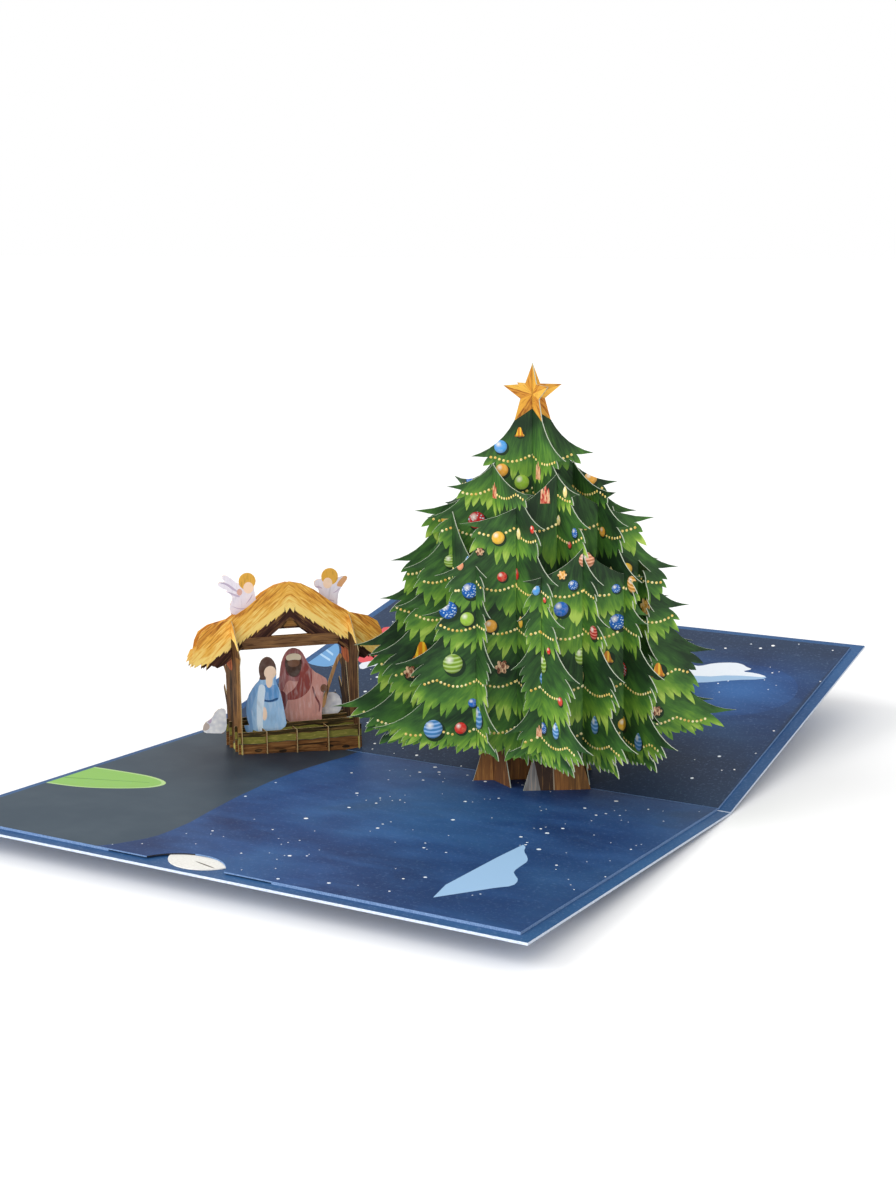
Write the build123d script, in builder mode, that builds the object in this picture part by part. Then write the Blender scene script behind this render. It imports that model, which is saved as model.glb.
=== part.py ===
"""A Christmas pop-up card, standing open on its fold.

A folded cover carries two glued liners. A note card slides in a pocket under the
front liner. Two sliceform paper models stand across the fold: a decorated tree and
a stable. Each is a lattice of upright slices in two crossing directions, joined by
half-lap slots.

Frame: X runs along the fold, +Y is towards the back panel, +Z is up, and the
origin is the middle of the fold on the surface that the card stands on.
"""

import os
from math import cos, radians, sin, sqrt, tan

from build123d import *

os.makedirs("parts", exist_ok=True)

# Cover and liners
card_length = 220.0  # along the fold
panel_depth = 150.0  # from the fold to a free edge
cover_wall = 0.8
back_liner_wall = 0.7
liner_margin = 4.5  # bare border of cover round each liner
fold_gap = 0.6  # from the fold line to each liner
pocket_cover_wall = 0.4  # printed ply of the front liner, over the note's spacer ply
score_width = 0.8
score_depth = 0.3
front_rise = 3.0  # degrees that the front panel stands off the table
back_rise = 10.2  # degrees that the back panel stands off the table
overrun = 5.0  # how far every cutter runs past what it cuts

# Note card and its pocket under the front liner
note_wall = 0.3
note_clearance = 0.075  # above and below the note card
note_side_clearance = 0.5
note_width = 60.0
note_length = 88.0
note_centre_share = -0.0318  # of the card's length, along the fold
note_inset = 18.0  # from the cover's free edge to the note's straight edge
note_corner = 3.0
tab_radius = 12.0
tab_reach = 2.5  # the tab's tip stops this far short of the cover's edge
tab_slit_length = 11.0
tab_slit_width = 0.6
notch_radius = 15.5
notch_depth = 10.0
notch_centre_share = -0.0364

# Tree
tree_height = 149.5  # a panel deep at most, so that it folds away inside
tree_reach = 66.0  # from the axis to the longest branch tip
tree_place_share = 0.1605  # the axis, of the card's length along the fold
tree_wall = 0.35
slot_clearance = 0.05  # on each side of a crossing slice
foot_clearance = 0.05  # under every foot
wide_angle = 38.0  # degrees from the fold to the broad slices
cross_angle = 32.0  # degrees from the fold to the crossing slices
wide_pitch = 14.1  # from one crossing to the next along a broad slice
slices_each_side = 2
star_radius = 10.7
star_inner_share = 0.42
star_tips = 5
trunk_height = 17.5
trunk_tops = {"wide": (17.0, 7.5), "cross": (10.0, 7.0)}  # half widths, by rank
trunk_feet = {"wide": (21.5, 12.0), "cross": (15.0, 12.0)}
skirt_height = 18.5  # lowest branch tip above the table
skirt_middle_height = 23.0  # of the skirt's middle, on slices that have no trunk
skirt_reach_share = 0.80
skirt_root_reach_share = 0.70
skirt_root_height_share = 0.165
skirt_fingers = 5
skirt_drop_share = 0.065
tier_fingers = 2
finger_drop_share = 0.072  # how far a finger hangs, by the reach of its tier
finger_lean_share = 0.75  # how far it leans outwards, by its drop
branch_sag_share = 0.11  # hollow of a tier's upper edge, by its length
tier_tip_height_shares = (0.790, 0.722, 0.652, 0.535, 0.445, 0.334, 0.187)
tier_tip_reach_shares = (0.326, 0.455, 0.560, 0.682, 0.742, 0.879, 1.0)
tier_root_height_shares = (0.879, 0.779, 0.709, 0.605, 0.488, 0.405, 0.254)
tier_root_reach_shares = (0.079, 0.190, 0.356, 0.470, 0.576, 0.636, 0.727)
apex_clear_share = 0.05  # tiers closer than this under a slice's apex are left out
outer_tip_shares = (1.30, 1.30, 1.30, 1.45, 1.60, 1.75, 1.90)  # of the crossing pitch
outer_root_share = 1.25
outer_skirt_share = 1.80
slot_end_shares = (0.47, 0.40, 0.335)  # where two half-laps meet, by outer rank

# Stable
stable_x_share = -0.3232  # front left foot, of the card's length
stable_y_share = -0.1873  # of the panel's depth
stable_width = 44.3  # between the two side walls
stable_depth = 18.0
stable_height = 66.0  # to the ridge of the thatch
stable_wall = 0.35
front_angle = 44.0  # degrees from the fold to the front
side_angle = 143.0  # degrees from the fold to the side walls
fence_height = 11.4
rail_height = 13.0  # the taller inner rails
crate_lap_share = 0.5  # height of the half-laps in the crate, by the fence
wall_overhang = 1.2  # how far each slice runs past the one that it crosses
rib_shares = (0.208, 0.465, 0.734)
roof_lap_share = 0.73  # height of the half-laps in the roof, by the ridge
fence_front_share = 0.067
blue_robe_share = 0.306
roof_front_share = 0.528
brown_robe_share = 0.694
roof_back_share = 0.806
fence_back_share = 0.933
back_ridge_share = 0.985

# Half outline of the thatch from ridge to eave, then back along the truss:
# shares of half the stable's width and of its height
thatch_top_shares = [
    (0.0, 1.0), (0.20, 0.985), (0.42, 0.945), (0.52, 0.918), (0.72, 0.866), (0.97, 0.815),
    (1.02, 0.800), (1.34, 0.760), (1.55, 0.700), (1.60, 0.655), (1.66, 0.580),
]
thatch_eave_shares = [
    (1.56, 0.592), (1.50, 0.562), (1.42, 0.590), (1.36, 0.560), (1.32, 0.545), (1.26, 0.525),
    (1.14, 0.540), (1.00, 0.578), (0.86, 0.621),
]
gable_gap_shares = [(0.36, 0.687), (0.20, 0.730)]
side_wall_shares = [  # of the depth and of the height
    (0.0, 0.0), (0.0, 0.172), (0.02, 0.560), (-0.06, 0.585), (-0.14, 0.615), (0.02, 0.690),
    (0.20, 0.785), (0.36, 0.835), (0.50, 0.850), (0.64, 0.835), (0.80, 0.785), (0.98, 0.690),
    (1.14, 0.615), (1.06, 0.585), (0.96, 0.560), (1.0, 0.500), (1.16, 0.520), (1.19, 0.500),
    (1.01, 0.460), (1.0, 0.330), (1.17, 0.385), (1.20, 0.365), (1.02, 0.270), (1.0, 0.0),
]

# Figures cut on the slices: shares of the stable's width and height
blue_robe_shares = [
    (0.135, 0.150), (0.085, 0.215), (0.072, 0.285), (0.090, 0.360), (0.150, 0.425),
    (0.205, 0.460), (0.190, 0.515), (0.205, 0.560), (0.240, 0.584), (0.275, 0.588),
    (0.315, 0.570), (0.342, 0.530), (0.340, 0.470), (0.335, 0.435), (0.370, 0.385),
    (0.400, 0.265), (0.425, 0.150),
]
brown_robe_shares = [
    (0.455, 0.150), (0.432, 0.300), (0.405, 0.375), (0.420, 0.470), (0.440, 0.540),
    (0.485, 0.592), (0.545, 0.606), (0.610, 0.585), (0.650, 0.530), (0.695, 0.465),
    (0.800, 0.420), (0.826, 0.405), (0.830, 0.345), (0.785, 0.330), (0.785, 0.250),
    (0.770, 0.210), (0.775, 0.150),
]
crook_shares = [
    (0.772, 0.242), (0.805, 0.335), (0.905, 0.525), (0.945, 0.556), (0.965, 0.535),
    (0.945, 0.520), (0.925, 0.505), (0.832, 0.330), (0.800, 0.235),
]
right_sheep_shares = [
    (0.755, 0.170), (0.765, 0.290), (0.800, 0.310), (0.975, 0.305), (0.985, 0.170),
]
left_sheep_shares = [
    (-0.020, 0.110), (-0.150, 0.118), (-0.230, 0.125), (-0.215, 0.180), (-0.145, 0.205),
    (-0.105, 0.252), (-0.045, 0.262), (-0.020, 0.240),
]
left_angel_shares = [
    (0.040, 0.800), (0.020, 0.862), (0.055, 0.905), (0.000, 0.960), (-0.075, 0.990),
    (-0.050, 1.010), (-0.020, 1.045), (0.020, 1.035), (0.100, 0.985), (0.150, 1.000),
    (0.230, 0.985), (0.245, 0.905), (0.260, 0.840),
]
right_angel_shares = [
    (0.760, 0.820), (0.782, 0.882), (0.795, 0.925), (0.745, 0.950), (0.755, 0.985),
    (0.830, 0.990), (0.900, 0.980), (1.020, 1.002), (1.045, 0.985), (0.985, 0.935),
    (0.950, 0.890), (0.945, 0.780),
]
angel_head_shares = [(0.180, 1.000), (0.885, 1.000)]
angel_head_radius = 3.2


def along(start, end, share):
    """A point part of the way from start to end."""
    return tuple(a + (b - a) * share for a, b in zip(start, end))


def heading(angle):
    """Unit vector in the table's plane, by degrees from the fold."""
    return Vector(cos(radians(angle)), sin(radians(angle)), 0)


def upright(origin, angle):
    """A vertical plane through origin whose local X runs along the given heading."""
    run = heading(angle)
    return Plane(origin=origin, x_dir=run, z_dir=(run.Y, -run.X, 0))


def panel_plane(side):
    """Top of the cover on one panel: local Y runs away from the fold, local Z up."""
    rise = radians(front_rise if side == "front" else back_rise)
    toward = -1 if side == "front" else 1
    slope = Vector(0, toward * cos(rise), sin(rise))
    face = Vector(0, -toward * sin(rise), cos(rise))
    return Plane(origin=face * cover_wall, x_dir=slope.cross(face), z_dir=face)


def card_top(y):
    """Height of the liners' upper faces at a distance y from the fold."""
    front_stack = cover_wall + front_liner_wall
    back_stack = cover_wall + back_liner_wall
    front = (front_stack - y * sin(radians(front_rise))) / cos(radians(front_rise))
    back = (back_stack + y * sin(radians(back_rise))) / cos(radians(back_rise))
    return max(front, back)


def slot_width(wall, crossing):
    """Opening in one slice that lets another pass at the given angle in degrees."""
    lean = abs(1 / tan(radians(crossing)))
    return wall / sin(radians(crossing)) + wall * lean + 2 * slot_clearance


def on_front(x, distance):
    """A place on the front panel's plane, whose local X runs against the fold's."""
    return (-x, distance)


# Cover: one scored and folded board
def leaf_point(rise, toward, distance, height):
    """A point of the fold's section, along one leaf and square to it."""
    turn = radians(rise)
    return (
        toward * (distance * cos(turn) - height * sin(turn)),
        distance * sin(turn) + height * cos(turn),
    )


pocket_height = note_wall + 2 * note_clearance
front_liner_wall = pocket_height + pocket_cover_wall
inner_fold = tan(radians((front_rise + back_rise) / 2)) * cover_wall
with BuildPart() as cover:
    with BuildSketch(Plane.YZ):
        with BuildLine():
            Polyline(
                leaf_point(front_rise, -1, 0, 0),
                leaf_point(front_rise, -1, panel_depth, 0),
                leaf_point(front_rise, -1, panel_depth, cover_wall),
                leaf_point(front_rise, -1, inner_fold + score_width / 2, cover_wall),
                (0, cover_wall - score_depth),
                leaf_point(back_rise, 1, inner_fold + score_width / 2, cover_wall),
                leaf_point(back_rise, 1, panel_depth, cover_wall),
                leaf_point(back_rise, 1, panel_depth, 0),
                close=True,
            )
        make_face()
    extrude(amount=card_length / 2, both=True)
cover.part.label = "cover"

# Liners: printed sheets glued inside the cover
liner_length = card_length - 2 * liner_margin
liner_depth = panel_depth - liner_margin - fold_gap
liner_middle = fold_gap + liner_depth / 2

with BuildPart() as liner_back:
    with BuildSketch(panel_plane("back")):
        with Locations((0, liner_middle)):
            Rectangle(liner_length, liner_depth)
    extrude(amount=back_liner_wall)
liner_back.part.label = "liner_back"

front_plane = panel_plane("front")
note_centre = card_length * note_centre_share
notch_centre = card_length * notch_centre_share
pocket_depth = note_inset + note_length + note_side_clearance
notch_middle = panel_depth - liner_margin - notch_depth + notch_radius

with BuildPart() as liner_front:
    with BuildSketch(front_plane):
        with Locations(on_front(0, liner_middle)):
            Rectangle(liner_length, liner_depth)
        with Locations(on_front(notch_centre, notch_middle)):
            Circle(notch_radius, mode=Mode.SUBTRACT)
    extrude(amount=front_liner_wall)
    with BuildSketch(front_plane):
        with Locations(on_front(note_centre, panel_depth + overrun - pocket_depth / 2)):
            Rectangle(note_width + 2 * note_side_clearance, pocket_depth + 2 * overrun)
    extrude(amount=pocket_height, mode=Mode.SUBTRACT)
liner_front.part.label = "liner_front"

note_front = panel_depth - note_inset
tab_middle = panel_depth - tab_reach - tab_radius
with BuildPart() as note_card:
    with BuildSketch(front_plane.offset(note_clearance)):
        with Locations(on_front(note_centre, note_front - note_length / 2)):
            RectangleRounded(note_width, note_length, note_corner)
        with Locations(on_front(note_centre, (tab_middle + note_front) / 2)):
            Rectangle(2 * tab_radius, tab_middle - note_front + note_corner)
        with Locations(on_front(note_centre, tab_middle)):
            Circle(tab_radius)
            SlotOverall(tab_slit_length, tab_slit_width, mode=Mode.SUBTRACT)
    extrude(amount=note_wall)
note_card.part.label = "note_card"

for piece in (cover, liner_front, liner_back, note_card):
    export_step(piece.part, f"parts/{piece.part.label}.step")

# Everything at or below the liners, which every foot is cut against
ground_half = card_length / 2
ground_reach = panel_depth - liner_margin
with BuildPart() as ground:
    with BuildSketch(Plane.YZ):
        with BuildLine():
            Polyline(
                (-ground_reach, card_top(-ground_reach) + foot_clearance),
                (0, card_top(0) + foot_clearance),
                (ground_reach, card_top(ground_reach) + foot_clearance),
                (ground_reach, -ground_reach),
                (-ground_reach, -ground_reach),
                close=True,
            )
        make_face()
    extrude(amount=ground_half, both=True)

# Tree
cross_pitch = wide_pitch * sin(radians(wide_angle)) / sin(radians(cross_angle))
tree_axis = Vector(card_length * tree_place_share, 0, 0)
crossing_angle = wide_angle + cross_angle
tree_slot = slot_width(tree_wall, crossing_angle)
tips = [
    (tree_reach * reach, tree_height * height)
    for reach, height in zip(tier_tip_reach_shares, tier_tip_height_shares)
]
roots = [
    (tree_reach * reach, tree_height * height)
    for reach, height in zip(tier_root_reach_shares, tier_root_height_shares)
]


def chord(reach, offset):
    """Half width of a slice that stands off the axis, in a round of the given reach."""
    return sqrt(max(reach**2 - offset**2, 0))


def apex_height(offset):
    """Where a slice that stands off the axis comes to its point."""
    for (near, high), (far, low) in zip(roots, roots[1:]):
        if near <= offset <= far:
            return high + (low - high) * (offset - near) / (far - near)
    return tree_height


def fingers(start, end, count, drop):
    """Points of the drooping fingers between a branch tip and the next root."""
    points = []
    for number in range(1, count + 1):
        hollow = along(start, end, (number - 1 / 2) / (count + 1))
        tip = along(start, end, number / (count + 1))
        points.append(hollow)
        points.append((tip[0] + drop * finger_lean_share, tip[1] - drop))
    return points


def star_points():
    """Right half of the star, from its top point to its lower one."""
    middle = tree_height - star_radius
    radii = (star_radius, star_radius * star_inner_share)
    turns = [radians(step * 180 / star_tips) for step in range(star_tips)]
    return [
        (radii[step % 2] * sin(turn), middle + radii[step % 2] * cos(turn))
        for step, turn in enumerate(turns)
    ]


def tree_half(family, rank, pitch, offset):
    """Half outline as runs of points: three-point runs that curve, the rest straight."""
    runs = []
    if rank == 0:
        points = star_points()
        runs.append(("straight", points))
        start = points[-1]
        first = 0
    else:
        start = (0, apex_height(offset))
        clear = start[1] - tree_height * apex_clear_share
        first = next(i for i, tip in enumerate(tips) if tip[1] < clear)
    last = len(tips) - 1
    for tier in range(first, last + 1):
        reach, height = tips[tier]
        tip = (chord(reach, offset), height)
        if tier < last:
            root = (chord(roots[tier + 1][0], offset), roots[tier + 1][1])
        else:
            root = (
                chord(tree_reach * skirt_root_reach_share, offset),
                tree_height * skirt_root_height_share,
            )
        if rank == slices_each_side:
            tip = (min(tip[0], outer_tip_shares[tier] * pitch), height)
            root = (outer_root_share * pitch, root[1])
        middle = along(start, tip, 1 / 2)
        sag = branch_sag_share
        bend = (
            middle[0] + (tip[1] - start[1]) * sag,
            middle[1] - (tip[0] - start[0]) * sag,
        )
        runs.append(("curved", [start, bend, tip]))
        hanging = fingers(tip, root, tier_fingers, tip[0] * finger_drop_share)
        runs.append(("straight", [tip] + hanging + [root]))
        start = root
    skirt = chord(tree_reach * skirt_reach_share, offset)
    if rank == slices_each_side:
        skirt = min(skirt, outer_skirt_share * pitch)
    tip = (skirt, skirt_height)
    trunked = rank < len(trunk_tops[family])
    inner = (trunk_tops[family][rank], trunk_height) if trunked else (0, skirt_middle_height)
    hanging = fingers(tip, inner, skirt_fingers, skirt * skirt_drop_share)
    tail = [start, tip] + hanging + [inner]
    if trunked:
        foot = trunk_feet[family][rank]
        tail += [(foot, 0), (foot, -overrun), (0, -overrun)]
    runs.append(("straight", tail))
    return runs


def draw_half(runs, side):
    """Draw a half outline to the given side of the slice's middle."""
    for kind, points in runs:
        placed = [(side * reach, height) for reach, height in points]
        if kind == "curved":
            ThreePointArc(*placed)
        else:
            Polyline(*placed)


def tree_slice(family, number, label):
    """One upright slice of the tree with its half-lap slots."""
    wide = family == "wide"
    angle = wide_angle if wide else -cross_angle
    own_pitch = wide_pitch if wide else cross_pitch
    step = cross_pitch if wide else wide_pitch
    across = heading(-cross_angle if wide else wide_angle)
    origin = tree_axis + across * (step * number)
    rank = abs(number)
    half = tree_half(family, rank, own_pitch, rank * step * sin(radians(crossing_angle)))
    with BuildPart() as piece:
        with BuildSketch(upright(origin, angle)):
            with BuildLine():
                for side in (1, -1):
                    draw_half(half, side)
            make_face()
            for crossed in range(-slices_each_side, slices_each_side + 1):
                outer = max(rank, abs(crossed))
                if rank == slices_each_side and abs(crossed) == slices_each_side:
                    continue
                lap = tree_height * slot_end_shares[outer]
                from_top = rank > abs(crossed) or (rank == abs(crossed) and wide)
                low = lap if from_top else -overrun
                high = tree_height + overrun if from_top else lap + slot_clearance
                with Locations((crossed * own_pitch, (low + high) / 2)):
                    Rectangle(tree_slot, high - low, mode=Mode.SUBTRACT)
        extrude(amount=tree_wall / 2, both=True)
        add(ground.part, mode=Mode.SUBTRACT)
    piece.part.label = label
    return piece.part


for number in range(-slices_each_side, slices_each_side + 1):
    place = number + slices_each_side + 1
    for family in ("wide", "cross"):
        made = tree_slice(family, number, f"tree_{family}_slice_{place}")
        export_step(made, f"parts/{made.label}.step")

# Stable
stable_corner = Vector(card_length * stable_x_share, panel_depth * stable_y_share, 0)
front_run = heading(front_angle)
side_run = heading(side_angle)
stable_slot = slot_width(stable_wall, side_angle - front_angle)
crate_lap = fence_height * crate_lap_share
roof_lap = stable_height * roof_lap_share
wall_places = [0] + [stable_width * share for share in rib_shares] + [stable_width]
rail_places = [
    stable_depth * share
    for share in (fence_front_share, blue_robe_share, brown_robe_share, fence_back_share)
]
roof_places = [stable_depth * share for share in (roof_front_share, roof_back_share)]


def spread(shares, width, height, middle=0, side=1):
    """Turn outline shares into points."""
    return [(middle + side * width * across, height * up) for across, up in shares]


def cut_slots(places, low, high):
    """Cut one upright slot at each place of the sketch that is being built."""
    with Locations(*[(place, (low + high) / 2) for place in places]):
        Rectangle(stable_slot, high - low, mode=Mode.SUBTRACT)


def face_plane(depth_share):
    """Plane of a slice that faces the front, set back by a share of the depth."""
    return upright(stable_corner + side_run * (stable_depth * depth_share), front_angle)


def rail_slice(depth_share, height, shapes, label, ends=wall_overhang):
    """A rail of the crate, with any figures that are cut on it."""
    with BuildPart() as piece:
        with BuildSketch(face_plane(depth_share)):
            with Locations((stable_width / 2, (height - overrun) / 2)):
                Rectangle(stable_width + 2 * ends, height + overrun)
            for shares in shapes:
                with BuildLine():
                    Polyline(*spread(shares, stable_width, stable_height), close=True)
                make_face()
            cut_slots(wall_places[1:-1], -overrun, crate_lap + slot_clearance)
            cut_slots([wall_places[0], wall_places[-1]], crate_lap, height + overrun)
        extrude(amount=stable_wall / 2, both=True)
        add(ground.part, mode=Mode.SUBTRACT)
    piece.part.label = label
    return piece.part


def roof_slice(depth_share, ridge_share, label, angels=()):
    """A gable of thatch, truss and tie beam that drops over the two side walls."""
    middle = stable_width / 2
    ridge = stable_height * ridge_share
    with BuildPart() as piece:
        with BuildSketch(face_plane(depth_share)):
            with BuildLine():
                for side in (1, -1):
                    half = thatch_top_shares + thatch_eave_shares
                    points = spread(half, stable_width / 2, ridge, middle, side)
                    Polyline(*points, (middle, points[-1][1]))
            make_face()
            gap = spread(gable_gap_shares, stable_width / 2, ridge, middle)
            gap += spread(gable_gap_shares[::-1], stable_width / 2, ridge, middle, -1)
            with BuildLine():
                Polyline(*gap, close=True)
            make_face(mode=Mode.SUBTRACT)
            for shares, (across, up) in angels:
                with BuildLine():
                    Polyline(*spread(shares, stable_width, stable_height), close=True)
                make_face()
                with Locations((stable_width * across, stable_height * up)):
                    Circle(angel_head_radius)
            cut_slots([wall_places[0], wall_places[-1]], 0, roof_lap + slot_clearance)
        extrude(amount=stable_wall / 2, both=True)
    piece.part.label = label
    return piece.part


def side_wall(place, label):
    """A log wall with twig stubs and a thatched cap."""
    with BuildPart() as piece:
        with BuildSketch(upright(stable_corner + front_run * place, side_angle)):
            with BuildLine():
                outline = spread(side_wall_shares, stable_depth, stable_height)
                Polyline(*outline[1:-1], (stable_depth, -overrun), (0, -overrun), close=True)
            make_face()
            cut_slots(rail_places, -overrun, crate_lap + slot_clearance)
            cut_slots(roof_places, roof_lap, stable_height + overrun)
        extrude(amount=stable_wall / 2, both=True)
        add(ground.part, mode=Mode.SUBTRACT)
    piece.part.label = label
    return piece.part


def rib(place, label):
    """A low slice that ties the rails of the crate together."""
    with BuildPart() as piece:
        with BuildSketch(upright(stable_corner + front_run * place, side_angle)):
            with Locations((stable_depth / 2, (fence_height - overrun) / 2)):
                Rectangle(stable_depth, fence_height + overrun)
            cut_slots(rail_places, crate_lap, fence_height + overrun)
        extrude(amount=stable_wall / 2, both=True)
        add(ground.part, mode=Mode.SUBTRACT)
    piece.part.label = label
    return piece.part


stable_pieces = [
    rail_slice(fence_front_share, fence_height, [], "stable_fence_front"),
    rail_slice(blue_robe_share, rail_height, [blue_robe_shares], "blue_robe_slice"),
    rail_slice(
        brown_robe_share, rail_height, [brown_robe_shares, crook_shares], "brown_robe_slice"
    ),
    rail_slice(
        fence_back_share, rail_height, [right_sheep_shares, left_sheep_shares], "sheep_slice"
    ),
    roof_slice(roof_front_share, 1, "roof_front"),
    roof_slice(
        roof_back_share,
        back_ridge_share,
        "roof_back",
        list(zip((left_angel_shares, right_angel_shares), angel_head_shares)),
    ),
    side_wall(wall_places[0], "stable_wall_left"),
    side_wall(wall_places[-1], "stable_wall_right"),
]
for number, place in enumerate(wall_places[1:-1], 1):
    stable_pieces.append(rib(place, f"stable_rib_{number}"))
for made in stable_pieces:
    export_step(made, f"parts/{made.label}.step")
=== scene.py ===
"""The printed finish of a Christmas pop-up card that stands open on its fold.

Every upright slice is a card sheet whose mesh is cut along the borders of its printed
fields: tiers of needles, baubles, bark, thatch and robes. The two liners get a printed
layer in the same way. Strings of beads and the stars of the night sky repeat, so they
come from geometry nodes.
"""

import math
import random

import bpy
import numpy as np
from mathutils import Matrix, Vector
from mathutils.geometry import delaunay_2d_cdt


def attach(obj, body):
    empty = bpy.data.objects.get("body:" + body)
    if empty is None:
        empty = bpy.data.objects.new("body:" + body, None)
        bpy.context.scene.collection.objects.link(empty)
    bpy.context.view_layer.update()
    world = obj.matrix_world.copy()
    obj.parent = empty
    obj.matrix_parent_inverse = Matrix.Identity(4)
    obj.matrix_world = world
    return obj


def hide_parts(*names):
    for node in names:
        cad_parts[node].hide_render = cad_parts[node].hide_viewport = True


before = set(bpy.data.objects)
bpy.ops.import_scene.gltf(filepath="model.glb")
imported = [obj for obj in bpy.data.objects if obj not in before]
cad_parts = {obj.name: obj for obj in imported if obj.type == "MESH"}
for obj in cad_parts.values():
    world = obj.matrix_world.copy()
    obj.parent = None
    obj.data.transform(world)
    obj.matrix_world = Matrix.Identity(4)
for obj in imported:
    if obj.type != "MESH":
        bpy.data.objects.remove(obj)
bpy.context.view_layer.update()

MM = 0.001

# Card, in millimetres and degrees, as the frame was built
PANEL_DEPTH = 150.0
CARD_LENGTH = 220.0
COVER_WALL = 0.8
FRONT_LINER_WALL = 0.85
BACK_LINER_WALL = 0.7
LINER_MARGIN = 4.5
FOLD_GAP = 0.6
FRONT_RISE = 3.0
BACK_RISE = 10.2
NOTCH_RADIUS = 15.5
NOTCH_DEPTH = 10.0
NOTCH_CENTRE = -8.0
PRINT_LIFT = 0.005  # a printed layer over its liner
FOOT_CLEARANCE = 0.05

# Tree
TREE_HEIGHT = 149.5
TREE_REACH = 66.0
TREE_PLACE = CARD_LENGTH * 0.1605
TREE_WALL = 0.35
SLOT_CLEARANCE = 0.05
WIDE_ANGLE = 38.0
CROSS_ANGLE = 32.0
WIDE_PITCH = 14.1
CROSS_PITCH = WIDE_PITCH * math.sin(math.radians(WIDE_ANGLE)) / math.sin(math.radians(CROSS_ANGLE))
OUTER_RANK = 2
STAR_RADIUS = 10.7
STAR_INNER_SHARE = 0.42
STAR_TIPS = 5
TRUNK_HEIGHT = 17.5
TRUNK_TOPS = {"wide": (17.0, 7.5), "cross": (10.0, 7.0)}
TRUNK_FEET = {"wide": (21.5, 12.0), "cross": (15.0, 12.0)}
SKIRT_HEIGHT = 18.5
SKIRT_MIDDLE_HEIGHT = 23.0
SKIRT_REACH_SHARE = 0.80
SKIRT_ROOT_SHARES = (0.70, 0.165)
TIP_SHARES = (
    (0.326, 0.790), (0.455, 0.722), (0.560, 0.652), (0.682, 0.535),
    (0.742, 0.445), (0.879, 0.334), (1.0, 0.187),
)
ROOT_SHARES = (
    (0.079, 0.879), (0.190, 0.779), (0.356, 0.709), (0.470, 0.605),
    (0.576, 0.488), (0.636, 0.405), (0.727, 0.254), SKIRT_ROOT_SHARES,
)
APEX_CLEAR_SHARE = 0.05
OUTER_TIP_SHARES = (1.30, 1.30, 1.30, 1.45, 1.60, 1.75, 1.90)
OUTER_ROOT_SHARE = 1.25
OUTER_SKIRT_SHARE = 1.80
SLOT_END_SHARES = (0.47, 0.40, 0.335)
BRANCH_SAG = 0.11
GRID = 2.2  # spacing of a print's inner points

# Stable
STABLE_X = CARD_LENGTH * -0.3232
STABLE_Y = PANEL_DEPTH * -0.1873
STABLE_WIDTH = 44.3
STABLE_DEPTH = 18.0
STABLE_HEIGHT = 66.0
STABLE_WALL = 0.35
FRONT_ANGLE = 44.0
SIDE_ANGLE = 143.0
FENCE_HEIGHT = 11.4
RAIL_HEIGHT = 13.0
CRATE_LAP_SHARE = 0.5
WALL_OVERHANG = 1.2
RIB_SHARES = (0.208, 0.465, 0.734)
ROOF_LAP_SHARE = 0.73
RAIL_SHARES = {"fence": 0.067, "blue": 0.306, "brown": 0.694, "back": 0.933}
ROOF_SHARES = {"front": 0.528, "back": 0.806}
BACK_RIDGE_SHARE = 0.985

# Camera, worked out from the photograph's 896 x 1195 frame
PHOTO_WIDTH = 896
PHOTO_HEIGHT = 1195
CAMERA_PLACE = Vector((0.3228, -0.5646, 0.2015))
CAMERA_AZIMUTH = 29.662
CAMERA_PITCH = 11.896
CAMERA_ROLL = 0.583
CAMERA_FOCAL_PIXELS = 1851.0
SENSOR_LONG_SIDE = 36.0


# Colours
def ink(red, green, blue):
    """A colour given as it looks on a screen, from 0 to 255, in linear light."""
    channels = []
    for value in (red, green, blue):
        share = value / 255
        channels.append(share / 12.92 if share <= 0.04045 else ((share + 0.055) / 1.055) ** 2.4)
    return (*channels, 1.0)


# Node trees
class Graph:
    """A node tree, with short calls that add a node and feed its inputs."""

    def __init__(self, tree):
        self.tree = tree

    def node(self, kind, inputs=None, **settings):
        made = self.tree.nodes.new(kind)
        for key, value in settings.items():
            setattr(made, key, value)
        for key, value in (inputs or {}).items():
            self.feed(made.inputs[key], value)
        return made

    def feed(self, socket, value):
        if isinstance(value, bpy.types.NodeSocket):
            self.tree.links.new(value, socket)
        else:
            socket.default_value = value

    def math(self, operation, *values):
        return self.node("ShaderNodeMath", dict(enumerate(values)), operation=operation).outputs[0]

    def limits(self, value, low, high, end=1.0):
        """0 where a value is low and end where it is high."""
        inputs = {"Value": value, "From Min": low, "From Max": high, "To Max": end}
        return self.node("ShaderNodeMapRange", inputs).outputs["Result"]

    def noise(self, vector, scale, detail=3.0, roughness=0.55, distortion=0.0):
        inputs = {"Vector": vector, "Scale": scale, "Detail": detail, "Roughness": roughness,
                  "Distortion": distortion}
        return self.node("ShaderNodeTexNoise", inputs).outputs["Fac"]


GRAIN_SCALE = 5200.0  # of the paper's own grain, for each metre
GRAIN_DEPTH = 0.00004


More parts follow.
